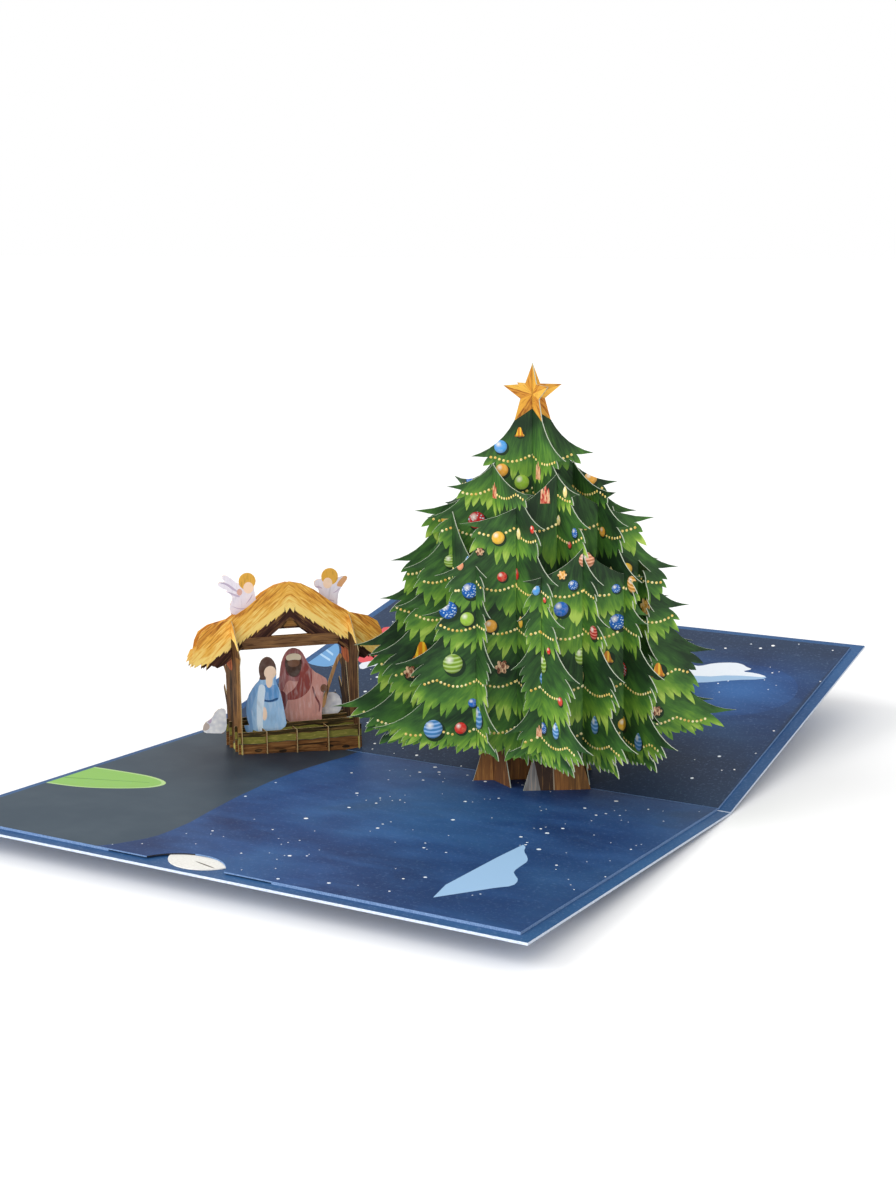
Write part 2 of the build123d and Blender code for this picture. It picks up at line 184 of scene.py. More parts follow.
class Shade(Graph):
    """A material's node tree, with short calls for the nodes that this card needs."""

    def __init__(self, name):
        self.material = bpy.data.materials.new(name)
        self.material.use_nodes = True
        super().__init__(self.material.node_tree)
        self.bsdf = self.tree.nodes["Principled BSDF"]

    def mix(self, share, first, second):
        inputs = {"Factor": share, "A": first, "B": second}
        return self.node("ShaderNodeMix", inputs, data_type="RGBA").outputs["Result"]

    def ramp(self, share, *stops):
        made = self.node("ShaderNodeValToRGB", {"Fac": share})
        elements = made.color_ramp.elements
        while len(elements) < len(stops):
            elements.new(1.0)
        for element, (place, colour) in zip(elements, stops):
            element.position = place
            element.color = colour
        return made.outputs["Color"]

    def wash(self, colour, over, value, low, high, depth=1.0):
        """Another ink over a colour: none where value is low, and depth of it where it is high."""
        return self.mix(self.limits(value, low, high, depth), colour, over)

    def shifted(self, share, value, middle, weight):
        """A share moved by how far a value lies from its middle."""
        away = self.math("SUBTRACT", value, middle)
        return self.math("ADD", share, self.math("MULTIPLY", away, weight))

    def place(self):
        return self.node("ShaderNodeTexCoord").outputs["Object"]

    def print_uv(self):
        return self.node("ShaderNodeUVMap", uv_map="print").outputs["UV"]

    def shade(self):
        return self.node("ShaderNodeAttribute", attribute_name="shade").outputs["Fac"]

    def paint(self):
        return self.node("ShaderNodeAttribute", attribute_name="paint").outputs["Color"]

    def stretch(self, vector, across, up, deep=1.0):
        inputs = {"Vector": vector, "Scale": (across, up, deep)}
        return self.node("ShaderNodeMapping", inputs).outputs["Vector"]

    def strokes(self, across, up, detail=4.0, distortion=0.0):
        """Noise drawn out along the print's own direction."""
        return self.noise(self.stretch(self.print_uv(), across, up), 1.0, detail, distortion=distortion)

    def finish(self, colour, roughness=0.55, grain=0.08, specular=0.4):
        """Coated printed card: a little gloss over a fine paper grain."""
        height = self.noise(self.place(), GRAIN_SCALE, detail=2.0)
        bump = self.node("ShaderNodeBump", {"Height": height, "Strength": grain, "Distance": GRAIN_DEPTH})
        for name, value in (("Base Color", colour), ("Roughness", roughness),
                            ("Specular IOR Level", specular), ("Normal", bump.outputs["Normal"])):
            self.feed(self.bsdf.inputs[name], value)
        return self.material


def tinted_edge(name, dark, light):
    """The fibres of the card, where a blade cut it."""
    s = Shade(name)
    colour = s.ramp(s.noise(s.place(), 2600.0, detail=2.0), (0.3, dark), (0.7, light))
    return s.finish(colour, roughness=0.8, grain=0.2)


def needle_print():
    """Painted needles: dark under the tier above, yellow-green at the fringe."""
    s = Shade("needle_print")
    share = s.shifted(s.shade(), s.strokes(26.0, 1.3, distortion=0.4), 0.5, 0.75)
    share = s.shifted(share, s.noise(s.place(), 55.0, detail=2.0), 0.5, 1.35)
    share = s.shifted(share, s.strokes(90.0, 2.6, detail=2.0), 0.5, 0.22)
    colour = s.ramp(
        share,
        (0.0, ink(30, 52, 30)),
        (0.24, ink(48, 83, 40)),
        (0.50, ink(72, 118, 48)),
        (0.78, ink(116, 160, 56)),
        (1.0, ink(176, 204, 90)),
    )
    return s.finish(colour, roughness=0.5, specular=0.22)


def star_print():
    """Gold and amber brush strokes on the star's facets."""
    s = Shade("star_print")
    strokes = s.strokes(9.0, 0.9, distortion=0.6)
    colour = s.wash(s.paint(), ink(226, 172, 70), strokes, 0.35, 0.75)
    colour = s.wash(colour, ink(120, 66, 26), strokes, 0.50, 0.22)
    return s.finish(colour, roughness=0.5, specular=0.15)


def trunk_print():
    """Brown bark in long upright strokes over the slice's own ground colour."""
    s = Shade("trunk_print")
    strokes = s.strokes(1.3, 0.09, distortion=0.5)
    colour = s.wash(s.paint(), ink(62, 40, 22), strokes, 0.40, 0.65, 0.55)
    colour = s.wash(colour, ink(196, 146, 82), strokes, 0.44, 0.30, 0.5)
    return s.finish(colour, roughness=0.6)


def finish_round(s, colour):
    """Light from the upper left and a dark far rim, painted on a round field."""
    def reach(x, y):
        made = s.node("ShaderNodeVectorMath", {0: s.print_uv(), 1: (x, y, 0.0)}, operation="DISTANCE")
        return made.outputs["Value"]

    colour = s.wash(colour, ink(44, 26, 22), reach(-0.12, 0.16), 0.72, 1.26, 0.52)
    colour = s.wash(colour, ink(255, 250, 238), reach(-0.34, 0.40), 0.52, 0.04, 0.85)
    return s.finish(colour, roughness=0.45, specular=0.15)


def glass_ball_print():
    s = Shade("glass_ball_print")
    tint = s.noise(s.place(), 900.0)
    return finish_round(s, s.wash(s.paint(), ink(255, 232, 190), tint, 0.4, 0.7, 0.18))


def net_ball_print():
    """A ball covered in small pale spangles."""
    s = Shade("net_ball_print")
    cells = s.node("ShaderNodeTexVoronoi", {"Vector": s.print_uv(), "Scale": 4.2}, distance="EUCLIDEAN")
    ground = s.mix(0.2, s.paint(), ink(20, 34, 66))
    return finish_round(s, s.wash(ground, ink(204, 226, 240), cells.outputs["Distance"], 0.42, 0.26))


def banded_print():
    """A drop or ball turned with level bands."""
    s = Shade("banded_print")
    uv = s.node("ShaderNodeSeparateXYZ", {"Vector": s.print_uv()})
    bow = s.math("MULTIPLY", s.math("MULTIPLY", uv.outputs["X"], uv.outputs["X"]), 0.22)
    level = s.math("MULTIPLY", s.math("SUBTRACT", uv.outputs["Y"], bow), 14.5)
    dark = s.mix(0.4, s.paint(), ink(52, 44, 30))
    light = s.mix(0.22, s.paint(), ink(255, 250, 232))
    return finish_round(s, s.wash(dark, light, s.math("SINE", level), -0.1, 0.5))


def bell_print():
    """Yellow bells with amber flutes."""
    s = Shade("bell_print")
    uv = s.node("ShaderNodeSeparateXYZ", {"Vector": s.print_uv()})
    flutes = s.math("SINE", s.math("MULTIPLY", uv.outputs["X"], 9.0))
    colour = s.wash(ink(214, 128, 18), ink(252, 202, 46), flutes, -0.2, 0.9)
    colour = s.wash(colour, ink(122, 66, 20), uv.outputs["Y"], -0.55, -0.95)
    return s.finish(colour, roughness=0.4)


def sprig_print():
    """Pale and brown dabs over the ink of a candle or a flower."""
    s = Shade("sprig_print")
    dabs = s.strokes(3.4, 1.5, detail=3.0, distortion=0.8)
    colour = s.wash(s.paint(), ink(246, 206, 160), dabs, 0.42, 0.62)
    colour = s.wash(colour, ink(92, 30, 22), dabs, 0.44, 0.28)
    return s.finish(colour, roughness=0.5)


def bead_gold():
    s = Shade("bead_gold")
    tone = s.noise(s.place(), 700.0, detail=1.0)
    colour = s.ramp(tone, (0.3, ink(224, 172, 66)), (0.5, ink(252, 224, 132)), (0.7, ink(255, 246, 200)))
    return s.finish(colour, roughness=0.35, grain=0.0)


def brush_paint():
    """A field in its own flat ink, mottled as brushwork is."""
    s = Shade("brush_paint")
    mottle = s.noise(s.place(), 380.0, detail=4.0)
    colour = s.wash(s.paint(), ink(255, 250, 240), mottle, 0.35, 0.75, 0.07)
    colour = s.wash(colour, ink(24, 20, 30), mottle, 0.5, 0.2, 0.098)
    return s.finish(colour, specular=0.15)


def thatch_print():
    """Straw in long strokes that run down the slope."""
    s = Shade("thatch_print")
    straw = s.strokes(1.5, 0.16, distortion=0.5)
    locks = s.strokes(0.34, 0.05, detail=2.0, distortion=0.3)
    share = s.math("ADD", s.math("MULTIPLY", straw, 0.65), s.math("MULTIPLY", locks, 0.35))
    colour = s.ramp(
        s.shifted(share, s.shade(), 0.45, 0.22),
        (0.29, ink(150, 88, 34)),
        (0.38, ink(206, 134, 52)),
        (0.48, ink(240, 178, 72)),
        (0.60, ink(255, 220, 128)),
    )
    return s.finish(colour, roughness=0.6, specular=0.2)


def bark_print():
    """Upright bark in the slice's ground colour, with dark cracks."""
    s = Shade("bark_print")
    grain = s.strokes(1.5, 0.11, distortion=0.7)
    crack = s.strokes(0.6, 0.05, detail=3.0, distortion=0.9)
    colour = s.wash(s.paint(), ink(172, 128, 76), grain, 0.52, 0.72, 0.6)
    colour = s.wash(colour, ink(40, 27, 18), grain, 0.47, 0.33, 0.75)
    colour = s.wash(colour, ink(26, 18, 13), crack, 0.44, 0.36, 0.8)
    return s.finish(colour, roughness=0.7, specular=0.06)


def robe_print():
    """Cloth in the field's own ink, with soft upright folds."""
    s = Shade("robe_print")
    folds = s.strokes(0.85, 0.16, detail=2.0, distortion=0.4)
    colour = s.wash(s.paint(), ink(255, 252, 252), folds, 0.50, 0.72, 0.22)
    colour = s.wash(colour, ink(70, 56, 84), folds, 0.45, 0.28, 0.20)
    colour = s.wash(colour, ink(60, 46, 60), s.strokes(4.0, 1.6, detail=3.0), 0.5, 0.3, 0.07)
    return s.finish(colour, specular=0.25)


def hay_print():
    """Short strokes in the field's own ink."""
    s = Shade("hay_print")
    strokes = s.strokes(1.8, 0.35, distortion=0.5)
    colour = s.wash(s.paint(), ink(236, 208, 120), strokes, 0.54, 0.74, 0.35)
    colour = s.wash(colour, ink(52, 38, 20), strokes, 0.47, 0.30, 0.30)
    return s.finish(colour, roughness=0.6, specular=0.25)


def hill_print():
    """A dark slope, slate where it is open and nearly black beside the stable, where the stable's shadow
    is painted.
    """
    s = Shade("hill_print")
    colour = s.mix(s.shade(), ink(34, 38, 50), s.paint())
    cloud = s.noise(s.place(), 60.0, detail=4.0)
    colour = s.wash(colour, ink(110, 124, 132), cloud, 0.4, 0.7, 0.10)
    return s.finish(colour, roughness=0.44, grain=0.05, specular=0.14)


def fleece_print():
    s = Shade("fleece_print")
    cells = s.node("ShaderNodeTexVoronoi", {"Vector": s.print_uv(), "Scale": 0.62}, feature="SMOOTH_F1")
    colour = s.wash(ink(252, 252, 252), ink(208, 212, 222), cells.outputs["Distance"], 0.1, 0.75)
    return s.finish(colour, roughness=0.6)


def night_print():
    """Night sky in soft blues and slates with a fine spatter."""
    s = Shade("night_print")
    place = s.place()
    colour = s.ramp(
        s.noise(place, 14.0, distortion=0.6),
        (0.28, ink(22, 44, 88)),
        (0.46, ink(32, 66, 118)),
        (0.60, ink(44, 84, 134)),
        (0.74, ink(48, 78, 116)),
    )
    mist = s.noise(s.stretch(place, 1.0, 2.6), 34.0, detail=4.0, distortion=0.4)
    colour = s.wash(colour, ink(70, 118, 180), mist, 0.45, 0.75, 0.30)
    colour = s.mix(s.math("MULTIPLY", s.shade(), 0.92), colour, s.paint())
    spatter = s.noise(place, 900.0, roughness=0.7)
    colour = s.wash(colour, ink(150, 180, 222), spatter, 0.55, 0.75, 0.16)
    return s.finish(colour, roughness=0.5, grain=0.05, specular=0.14)


def cover_print():
    s = Shade("cover_print")
    place = s.place()
    cloud = s.noise(place, 26.0, detail=4.0)
    colour = s.ramp(cloud, (0.3, ink(34, 72, 118)), (0.7, ink(50, 92, 138)))
    spatter = s.noise(place, 1100.0, detail=2.0, roughness=0.7)
    colour = s.wash(colour, ink(160, 184, 220), spatter, 0.55, 0.75, 0.2)
    return s.finish(colour, roughness=0.46, grain=0.05, specular=0.15)


def cover_edge():
    s = Shade("cover_edge")
    fibre = s.noise(s.stretch(s.place(), 1.0, 1.0, 9.0), 900.0, detail=2.0)
    colour = s.ramp(fibre, (0.3, ink(150, 166, 190)), (0.7, ink(214, 220, 230)))
    return s.finish(colour, roughness=0.75, grain=0.2)


SLIT_MIDDLE = (-3.2 * MM, -141.6 * MM, 0.0)
SLIT_HALF = (5.2 * MM, 0.36 * MM, 1.0)
SLIT_TURN = (0.0, 0.0, math.radians(-16.0))


def note_paper():
    """Uncoated white paper with the tab's short slit, painted as a dark line of shade in the cut."""
    s = Shade("note_paper")
    fibre = s.noise(s.place(), 1400.0, detail=4.0)
    colour = s.ramp(fibre, (0.3, ink(222, 220, 213)), (0.7, ink(238, 236, 230)))
    fitted = {"Vector": s.place(), "Location": SLIT_MIDDLE, "Rotation": SLIT_TURN, "Scale": SLIT_HALF}
    lens = s.node("ShaderNodeMapping", fitted, vector_type="TEXTURE")
    reach = s.node("ShaderNodeVectorMath", {0: lens.outputs["Vector"]}, operation="LENGTH")
    # painted shade of the slit
    colour = s.wash(colour, ink(92, 84, 76), reach.outputs["Value"], 1.0, 0.8)
    return s.finish(colour, roughness=0.8, grain=0.25, specular=0.25)


def sky_star_ink():
    s = Shade("sky_star_ink")
    tone = s.noise(s.place(), 300.0, detail=1.0)
    colour = s.ramp(tone, (0.3, ink(222, 234, 248)), (0.6, ink(255, 255, 255)))
    return s.finish(colour, roughness=0.5, grain=0.0)


INKS = {
    "edge": tinted_edge("cut_edge", ink(156, 168, 146), ink(206, 210, 192)),
    "needles": needle_print(),
    "star": star_print(),
    "trunk": trunk_print(),
    "ball": glass_ball_print(),
    "net": net_ball_print(),
    "banded": banded_print(),
    "bell": bell_print(),
    "sprig": sprig_print(),
    "paint": brush_paint(),
    "thatch": thatch_print(),
    "bark": bark_print(),
    "fleece": fleece_print(),
    "robe": robe_print(),
    "hay": hay_print(),
    "hill": hill_print(),
    "tan_edge": tinted_edge("tan_edge", ink(150, 126, 86), ink(196, 174, 128)),
    "straw_edge": tinted_edge("straw_edge", ink(196, 136, 66), ink(236, 188, 112)),
    "night": night_print(),
    "beads": bead_gold(),
    "stars": sky_star_ink(),
}


def in_scene(name, data):
    """A new object in the scene."""
    made = bpy.data.objects.new(name, data)
    bpy.context.scene.collection.objects.link(made)
    return made


# Flat geometry
MERGE_DISTANCE = 1e-5  # between points of two borders that are one point
OVERRUN = 5.0  # a slot runs this far past the edge that it opens


def along(start, end, share):
    return tuple(a + (b - a) * share for a, b in zip(start, end))


def mirrored(points):
    """The same run of points on the other side of the middle, in the opposite order."""
    return [(-x, y) for x, y in reversed(points)]


def inside(points, border):
    """Which points a closed border winds round, as a boolean array."""
    ring = np.array(border, float)
    x, y = points[:, 0][:, None], points[:, 1][:, None]
    x1, y1 = ring[:, 0], ring[:, 1]
    x2, y2 = np.roll(x1, -1), np.roll(y1, -1)
    rise = np.where(y2 == y1, 1e-12, y2 - y1)
    left_of_edge = x < (x2 - x1) * (y - y1) / rise + x1
    upward = (y1 <= y) & (y2 > y) & left_of_edge
    downward = (y1 > y) & (y2 <= y) & left_of_edge
    return upward.sum(axis=1) != downward.sum(axis=1)


def round_border(x, y, radius, tall=1.0, count=22):
    """A circle or an upright oval."""
    border = []
    for step in range(count):
        angle = 2 * math.pi * step / count
        border.append((x + radius * math.cos(angle), y + radius * tall * math.sin(angle)))
    return border


class Plane:
    """A flat place for a print: run along it, up it, and face towards its printed side."""

    def __init__(self, origin, run, up):
        self.origin = Vector(origin)
        self.run = Vector(run).normalized()
        self.up = Vector(up).normalized()
        self.face = self.run.cross(self.up)

    def point(self, x, y, lift=0.0):
        return self.origin + (self.run * x + self.up * y + self.face * lift) * MM


def heading(angle):
    return Vector((math.cos(math.radians(angle)), math.sin(math.radians(angle)), 0))


def upright(origin, angle):
    return Plane(origin, heading(angle), (0, 0, 1))


def card_top(y):
    """Height of the liners' upper faces, in millimetres, at y millimetres from the fold."""
    front = math.radians(FRONT_RISE)
    back = math.radians(BACK_RISE)
    over_front = (COVER_WALL + FRONT_LINER_WALL - y * math.sin(front)) / math.cos(front)
    over_back = (COVER_WALL + BACK_LINER_WALL + y * math.sin(back)) / math.cos(back)
    return max(over_front, over_back)


def floor_line(plane, start, end):
    """The foot of a slice, from one end to the other, as the open card cuts it."""
    y, slope = plane.origin.y / MM, plane.run.y
    stops = [start, end]
    kink = -y / slope
    if min(start, end) < kink < max(start, end):
        stops.insert(1, kink)
    return [(x, card_top(y + x * slope) + FOOT_CLEARANCE) for x in stops]


def slot_width(wall, crossing):
    """Opening in one slice that lets another pass at the given angle in degrees."""
    turn = math.radians(crossing)
    return wall / math.sin(turn) + wall * abs(1 / math.tan(turn)) + 2 * SLOT_CLEARANCE


def slot_ring(x, width, low, high):
    return [(x - width / 2, low), (x + width / 2, low), (x + width / 2, high), (x - width / 2, high)]


def field(border, name, paint=(1, 1, 1, 1), uv=None, shade=None, within=None):
    """One printed field: its border, its ink and how its pattern lies."""
    return {"border": border, "within": within, "ink": name, "paint": paint, "uv": uv, "shade": shade}


def round_uv(x, y, radius, tall):
    """Pattern coordinates from -1 to 1 across a round field."""
    return lambda points: (points - (x, y)) / (radius, radius * tall)


def in_any(points, rings):
    kept = np.zeros(len(points), bool)
    for ring in rings:
        kept |= inside(points, ring)
    return kept


def inner_points(rings, grid):
    """Points inside a sheet, in staggered rows, that keep its triangles even."""
    extent = np.concatenate([np.array(ring, float) for ring in rings])
    low, high = extent.min(axis=0), extent.max(axis=0)
    columns, rows = (int(span / grid) for span in high - low)
    inner = [
        (low[0] + (column + 0.5 * (row % 2) + 0.3) * grid, low[1] + (row + 0.5) * grid)
        for row in range(rows) for column in range(columns)
    ]
    if not inner:
        return []
    inner = np.array(inner)
    return list(map(tuple, inner[in_any(inner, rings)]))


def cut_sheet(rings, holes, fields, grid):
    """Triangles of a sheet that is cut along its fields' borders, and each one's field."""
    borders = rings + holes + [f["border"] for f in fields if f["border"]]
    points, edges = [], []
    for border in borders:
        start = len(points)
        points.extend(border)
        edges.extend((start + i, start + (i + 1) % len(border)) for i in range(len(border)))
    points += inner_points(rings, grid)
    made = delaunay_2d_cdt([Vector(p) for p in points], edges, [], 0, MERGE_DISTANCE)
    corners = np.array([tuple(v) for v in made[0]])
    triangles = np.array(made[2])
    middles = corners[triangles].mean(axis=1)
    keep = in_any(middles, rings) & ~in_any(middles, holes)
    triangles, middles = triangles[keep], middles[keep]
    owner = np.full(len(triangles), -1)
    for number, printed in enumerate(fields):
        free = owner < 0
        for border in (printed["border"], printed["within"]):
            if border:
                free &= inside(middles, border)
        owner[free] = number
    used = np.unique(triangles)
    renumber = np.zeros(len(corners), int)
    renumber[used] = np.arange(len(used))
    return corners[used], renumber[triangles], owner


def sheet_solid(plane, lifts, corners, triangles):
    """Points and faces of a sheet: its front, its back, and last the rim between them."""
    count = len(corners)
    points = [plane.point(x, y, lift) for lift in lifts for x, y in corners]
    fronts = triangles.tolist()
    backs = [[count + i for i in reversed(t)] for t in fronts]
    sides = dict.fromkeys(side for a, b, c in fronts for side in ((a, b), (b, c), (c, a)))
    rim = [(b, a, a + count, b + count) for a, b in sides if (b, a) not in sides]
    return points, fronts + backs + rim


def print_values(fields, names, corners, triangles, owner):
    """What the print needs: pattern place, shade and paint by corner, and ink by triangle."""
    total = len(triangles)
    uv, shade, paint = np.zeros((total, 3, 2)), np.zeros((total, 3)), np.ones((total, 3, 4))
    slots = np.zeros(total, int)
    for number, printed in enumerate(fields):
        mine = owner == number
        if not mine.any():
            continue
        flat = corners[triangles[mine]].reshape(-1, 2)
        uv[mine] = (printed["uv"](flat) if printed["uv"] else flat).reshape(-1, 3, 2)
        if printed["shade"]:
            shade[mine] = printed["shade"](flat).reshape(-1, 3)
        paint[mine] = printed["paint"]
        slots[mine] = names.index(printed["ink"])
    return uv, shade, paint, slots


def sheet_mesh(name, plane, wall, rings, fields, holes=(), grid=GRID, one_sided=False, edge="edge"):
    """A card sheet with its print, or a thin printed layer when it is one-sided."""
    corners, triangles, owner = cut_sheet(rings, list(holes), fields, grid)
    first, second = (corners[triangles[:, i]] - corners[triangles[:, 0]] for i in (1, 2))
    turned = first[:, 0] * second[:, 1] < first[:, 1] * second[:, 0]
    triangles[turned] = triangles[turned][:, ::-1]
    lifts = (wall, 0.0) if one_sided else (wall / 2, -wall / 2)
    points, faces = sheet_solid(plane, lifts, corners, triangles)
    rim = len(faces) - 2 * len(triangles)
    names = [*dict.fromkeys(printed["ink"] for printed in fields), edge]
    uv, shade, paint, slots = print_values(fields, names, corners, triangles, owner)

    mesh = bpy.data.meshes.new(name)
    mesh.from_pydata(points, [], faces)
    for ink_name in names:
        mesh.materials.append(INKS[ink_name])
    slots = np.concatenate([slots, slots, [len(names) - 1] * rim])
    mesh.polygons.foreach_set("material_index", slots.astype(np.int32))

    def write(layer, key, values):
        """Corner values for both faces of the sheet, and nothing for its rim."""
        tail = values.shape[2:]
        rim_values = np.zeros((rim * 4, *tail))
        both = (values.reshape(-1, *tail), values[:, ::-1].reshape(-1, *tail), rim_values)
        layer.data.foreach_set(key, np.concatenate(both).astype(np.float32).ravel())

    write(mesh.uv_layers.new(name="print"), "uv", uv)
    write(mesh.attributes.new("shade", "FLOAT", "CORNER"), "value", shade)
    write(mesh.attributes.new("paint", "FLOAT_COLOR", "CORNER"), "color", paint)
    mesh.update()
    return in_scene(name, mesh)


def print_piece(made, slot, *nodes):
    """Hide the CAD nodes that a printed sheet stands for, and fix the sheet to the card's body."""
    if nodes:
        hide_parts(*nodes)
    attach(made, "card")


# Camera
def camera_axes():
    """The camera's right, up and forward directions."""
    azimuth = math.radians(CAMERA_AZIMUTH)
    pitch = math.radians(CAMERA_PITCH)
    roll = math.radians(CAMERA_ROLL)
    forward = Vector(
        (-math.sin(azimuth) * math.cos(pitch), math.cos(azimuth) * math.cos(pitch), -math.sin(pitch))
    )
    right = Vector((math.cos(azimuth), math.sin(azimuth), 0))
    down = forward.cross(right)
    rolled_right = right * math.cos(roll) + down * math.sin(roll)
    rolled_down = down * math.cos(roll) - right * math.sin(roll)
    return rolled_right, -rolled_down, forward


def photo_camera():
    right, up, forward = camera_axes()
    data = bpy.data.cameras.new("photo_camera")
    data.lens = CAMERA_FOCAL_PIXELS * SENSOR_LONG_SIDE / PHOTO_HEIGHT
    data.sensor_width = SENSOR_LONG_SIDE
    data.clip_start = 0.01
    data.clip_end = 20.0
    made = in_scene("photo_camera", data)
    turned = Matrix((right, up, -forward)).transposed().to_4x4()
    made.matrix_world = Matrix.Translation(CAMERA_PLACE) @ turned
    bpy.context.scene.camera = made


def photo_ray(across, down):
    """Direction from the camera through a pixel of the photograph."""
    right, up, forward = camera_axes()
    return (
        forward * CAMERA_FOCAL_PIXELS
        + right * (across - PHOTO_WIDTH / 2)
        - up * (down - PHOTO_HEIGHT / 2)
    ).normalized()


def photo_hit(plane, across, down):
    """Where a pixel's ray meets a plane: its place there in millimetres and its distance."""
    ray = photo_ray(across, down)
    reach = (plane.origin - CAMERA_PLACE).dot(plane.face) / ray.dot(plane.face)
    offset = CAMERA_PLACE + ray * reach - plane.origin
    return offset.dot(plane.run) / MM, offset.dot(plane.up) / MM, reach


# Tree
TREE_CROSSING = WIDE_ANGLE + CROSS_ANGLE
TREE_SLOT = slot_width(TREE_WALL, TREE_CROSSING)
FAR = 200.0  # past every edge of a slice
FINGER_WIDTH = 2.7
FINGER_LENGTH = 2.6
FINGER_LENGTH_SHARE = 0.078  # added to it, of a tier's reach
FINGER_WIDTHS = (0.9, 1.1)
FINGER_REACHES = (0.68, 1.12)
LEAN_SPREAD = 0.28
TUFT_REACH = 0.16  # fingers come longer and shorter in turn by this share
TUFT_TURN = 1.9
# A finger's outline: shares of its length and of its width
FINGER_SHAPE = (
    (0.0, -0.56), (0.35, -0.5), (0.62, -0.36), (0.84, -0.18), (1.0, 0.02),
    (0.86, 0.14), (0.62, 0.34), (0.35, 0.46), (0.0, 0.54),
)
TIP_LENGTH = 1.35  # of a finger's length
TIP_WIDTH = 2.3
TIP_SHAPE = ((0.34, 0.34), (0.68, 0.74), (1.0, 1.0))
SKIRT_LIFT = 2.0
SKIRT_LIFTS = {("wide", 1): 6.0, ("wide", 2): 3.0}
SKIRT_FINGER_SHARE = 0.45  # of FINGER_LENGTH_SHARE
SIDES = (1, 2)  # right and left, as they count in a fringe's seed
MIDDLE_DROPS = (0.5, 1.2)  # of a finger's length, from a tier's roots to its middle
PRINTED_SHARE = 1.05  # of a finger's length, for the fringes that are only printed
# Leans at the outer and the inner end of a fringe
BRANCH_LEANS = (1.9, 0.55)
TIER_LEANS = (0.45, 0.0)
SKIRT_LEANS = (1.2, 0.2)
TRUNK_LEANS = (0.2, 0.0)
# From a tier's top, the skirt's and an ornament's middle up to the point that strokes spread from
TIER_FAN = 14.0
SKIRT_FAN = 16.0
ORNAMENT_FAN = 30.0


def chord(reach, offset):
    return math.sqrt(max(reach**2 - offset**2, 0))


def apex_height(offset):
    """Where a slice that stands off the axis comes to its point."""
    for (near, high), (far, low) in zip(ROOT_SHARES, ROOT_SHARES[1:7]):
        if near * TREE_REACH <= offset <= far * TREE_REACH:
            share = (offset / TREE_REACH - near) / (far - near)
            return TREE_HEIGHT * (high + (low - high) * share)
    return TREE_HEIGHT


def star_half():
    middle = TREE_HEIGHT - STAR_RADIUS
    radii = (STAR_RADIUS, STAR_RADIUS * STAR_INNER_SHARE)
    turns = [math.pi * step / STAR_TIPS for step in range(STAR_TIPS)]
    return [
        (radii[step % 2] * math.sin(turn), middle + radii[step % 2] * math.cos(turn))
        for step, turn in enumerate(turns)
    ]


def tiers_of(rank, pitch, offset):
    """Each tier of a slice's right side: the root above, the tip and the root below."""
    if rank == 0:
        start = star_half()[-1]
        first = 0
    else:
        start = (0.0, apex_height(offset))
        clear = start[1] - TREE_HEIGHT * APEX_CLEAR_SHARE
        first = next(i for i, tip in enumerate(TIP_SHARES) if tip[1] * TREE_HEIGHT < clear)
    tiers = []
    for number in range(first, len(TIP_SHARES)):
        reach, height = TIP_SHARES[number]
        tip = (chord(TREE_REACH * reach, offset), TREE_HEIGHT * height)
        reach, height = ROOT_SHARES[number + 1]
        root = (chord(TREE_REACH * reach, offset), TREE_HEIGHT * height)
        if rank == OUTER_RANK:
            tip = (min(tip[0], OUTER_TIP_SHARES[number] * pitch), tip[1])
            root = (OUTER_ROOT_SHARE * pitch, root[1])
        tiers.append((start, tip, root))
        start = root
    return tiers


def branch_edge(start, tip, steps=6):
    """The hollow upper edge of a branch."""
    bend = (
        (start[0] + tip[0]) / 2 + (tip[1] - start[1]) * BRANCH_SAG * 2,
        (start[1] + tip[1]) / 2 - (tip[0] - start[0]) * BRANCH_SAG * 2,
    )
    points = []
    for step in range(steps + 1):
        share = step / steps
        points.append(along(along(start, bend, share), along(bend, tip, share), share))
    return points


def beside(base, ahead, run, off):
    """A point that lies so far along a direction from another, and so far off it."""
    return base[0] + ahead[0] * run + ahead[1] * off, base[1] + ahead[1] * run - ahead[0] * off


def fringe(start, end, length, leans, seed, width=FINGER_WIDTH, shape=FINGER_SHAPE):
    """Fingers that hang from a line. A lean is a finger's run outwards by its drop."""
    draw = random.Random(seed)
    count = max(1, round(math.dist(start, end) / width))
    points = []
    for number in range(count):
        share = (number + 0.5) / count
        base = along(start, end, share)
        lean = leans[0] + (leans[1] - leans[0]) * share + draw.uniform(-LEAN_SPREAD, LEAN_SPREAD)
        drop = math.hypot(lean, 1)
        ahead = (lean / drop, -1 / drop)
        tuft = TUFT_REACH * math.sin(TUFT_TURN * number + seed)
        reach = length * (draw.uniform(*FINGER_REACHES) + tuft)
        wide = width * draw.uniform(*FINGER_WIDTHS)
        points += [beside(base, ahead, reach * out, wide * side) for out, side in shape]
    return points


def branch_fringe(start, tip, root, length, seed):
    """The underside of a branch: its own pointed tip, then fingers back to the root."""
    last = branch_edge(start, tip)[-2]
    run = math.dist(last, tip)
    out = ((tip[0] - last[0]) / run, (tip[1] - last[1]) / run)
    long, wide = length * TIP_LENGTH, TIP_WIDTH
    under = [beside(tip, out, -long * back, wide * below) for back, below in TIP_SHAPE]
    return [tip] + under + fringe(under[-1], root, length, BRANCH_LEANS, seed) + [root]


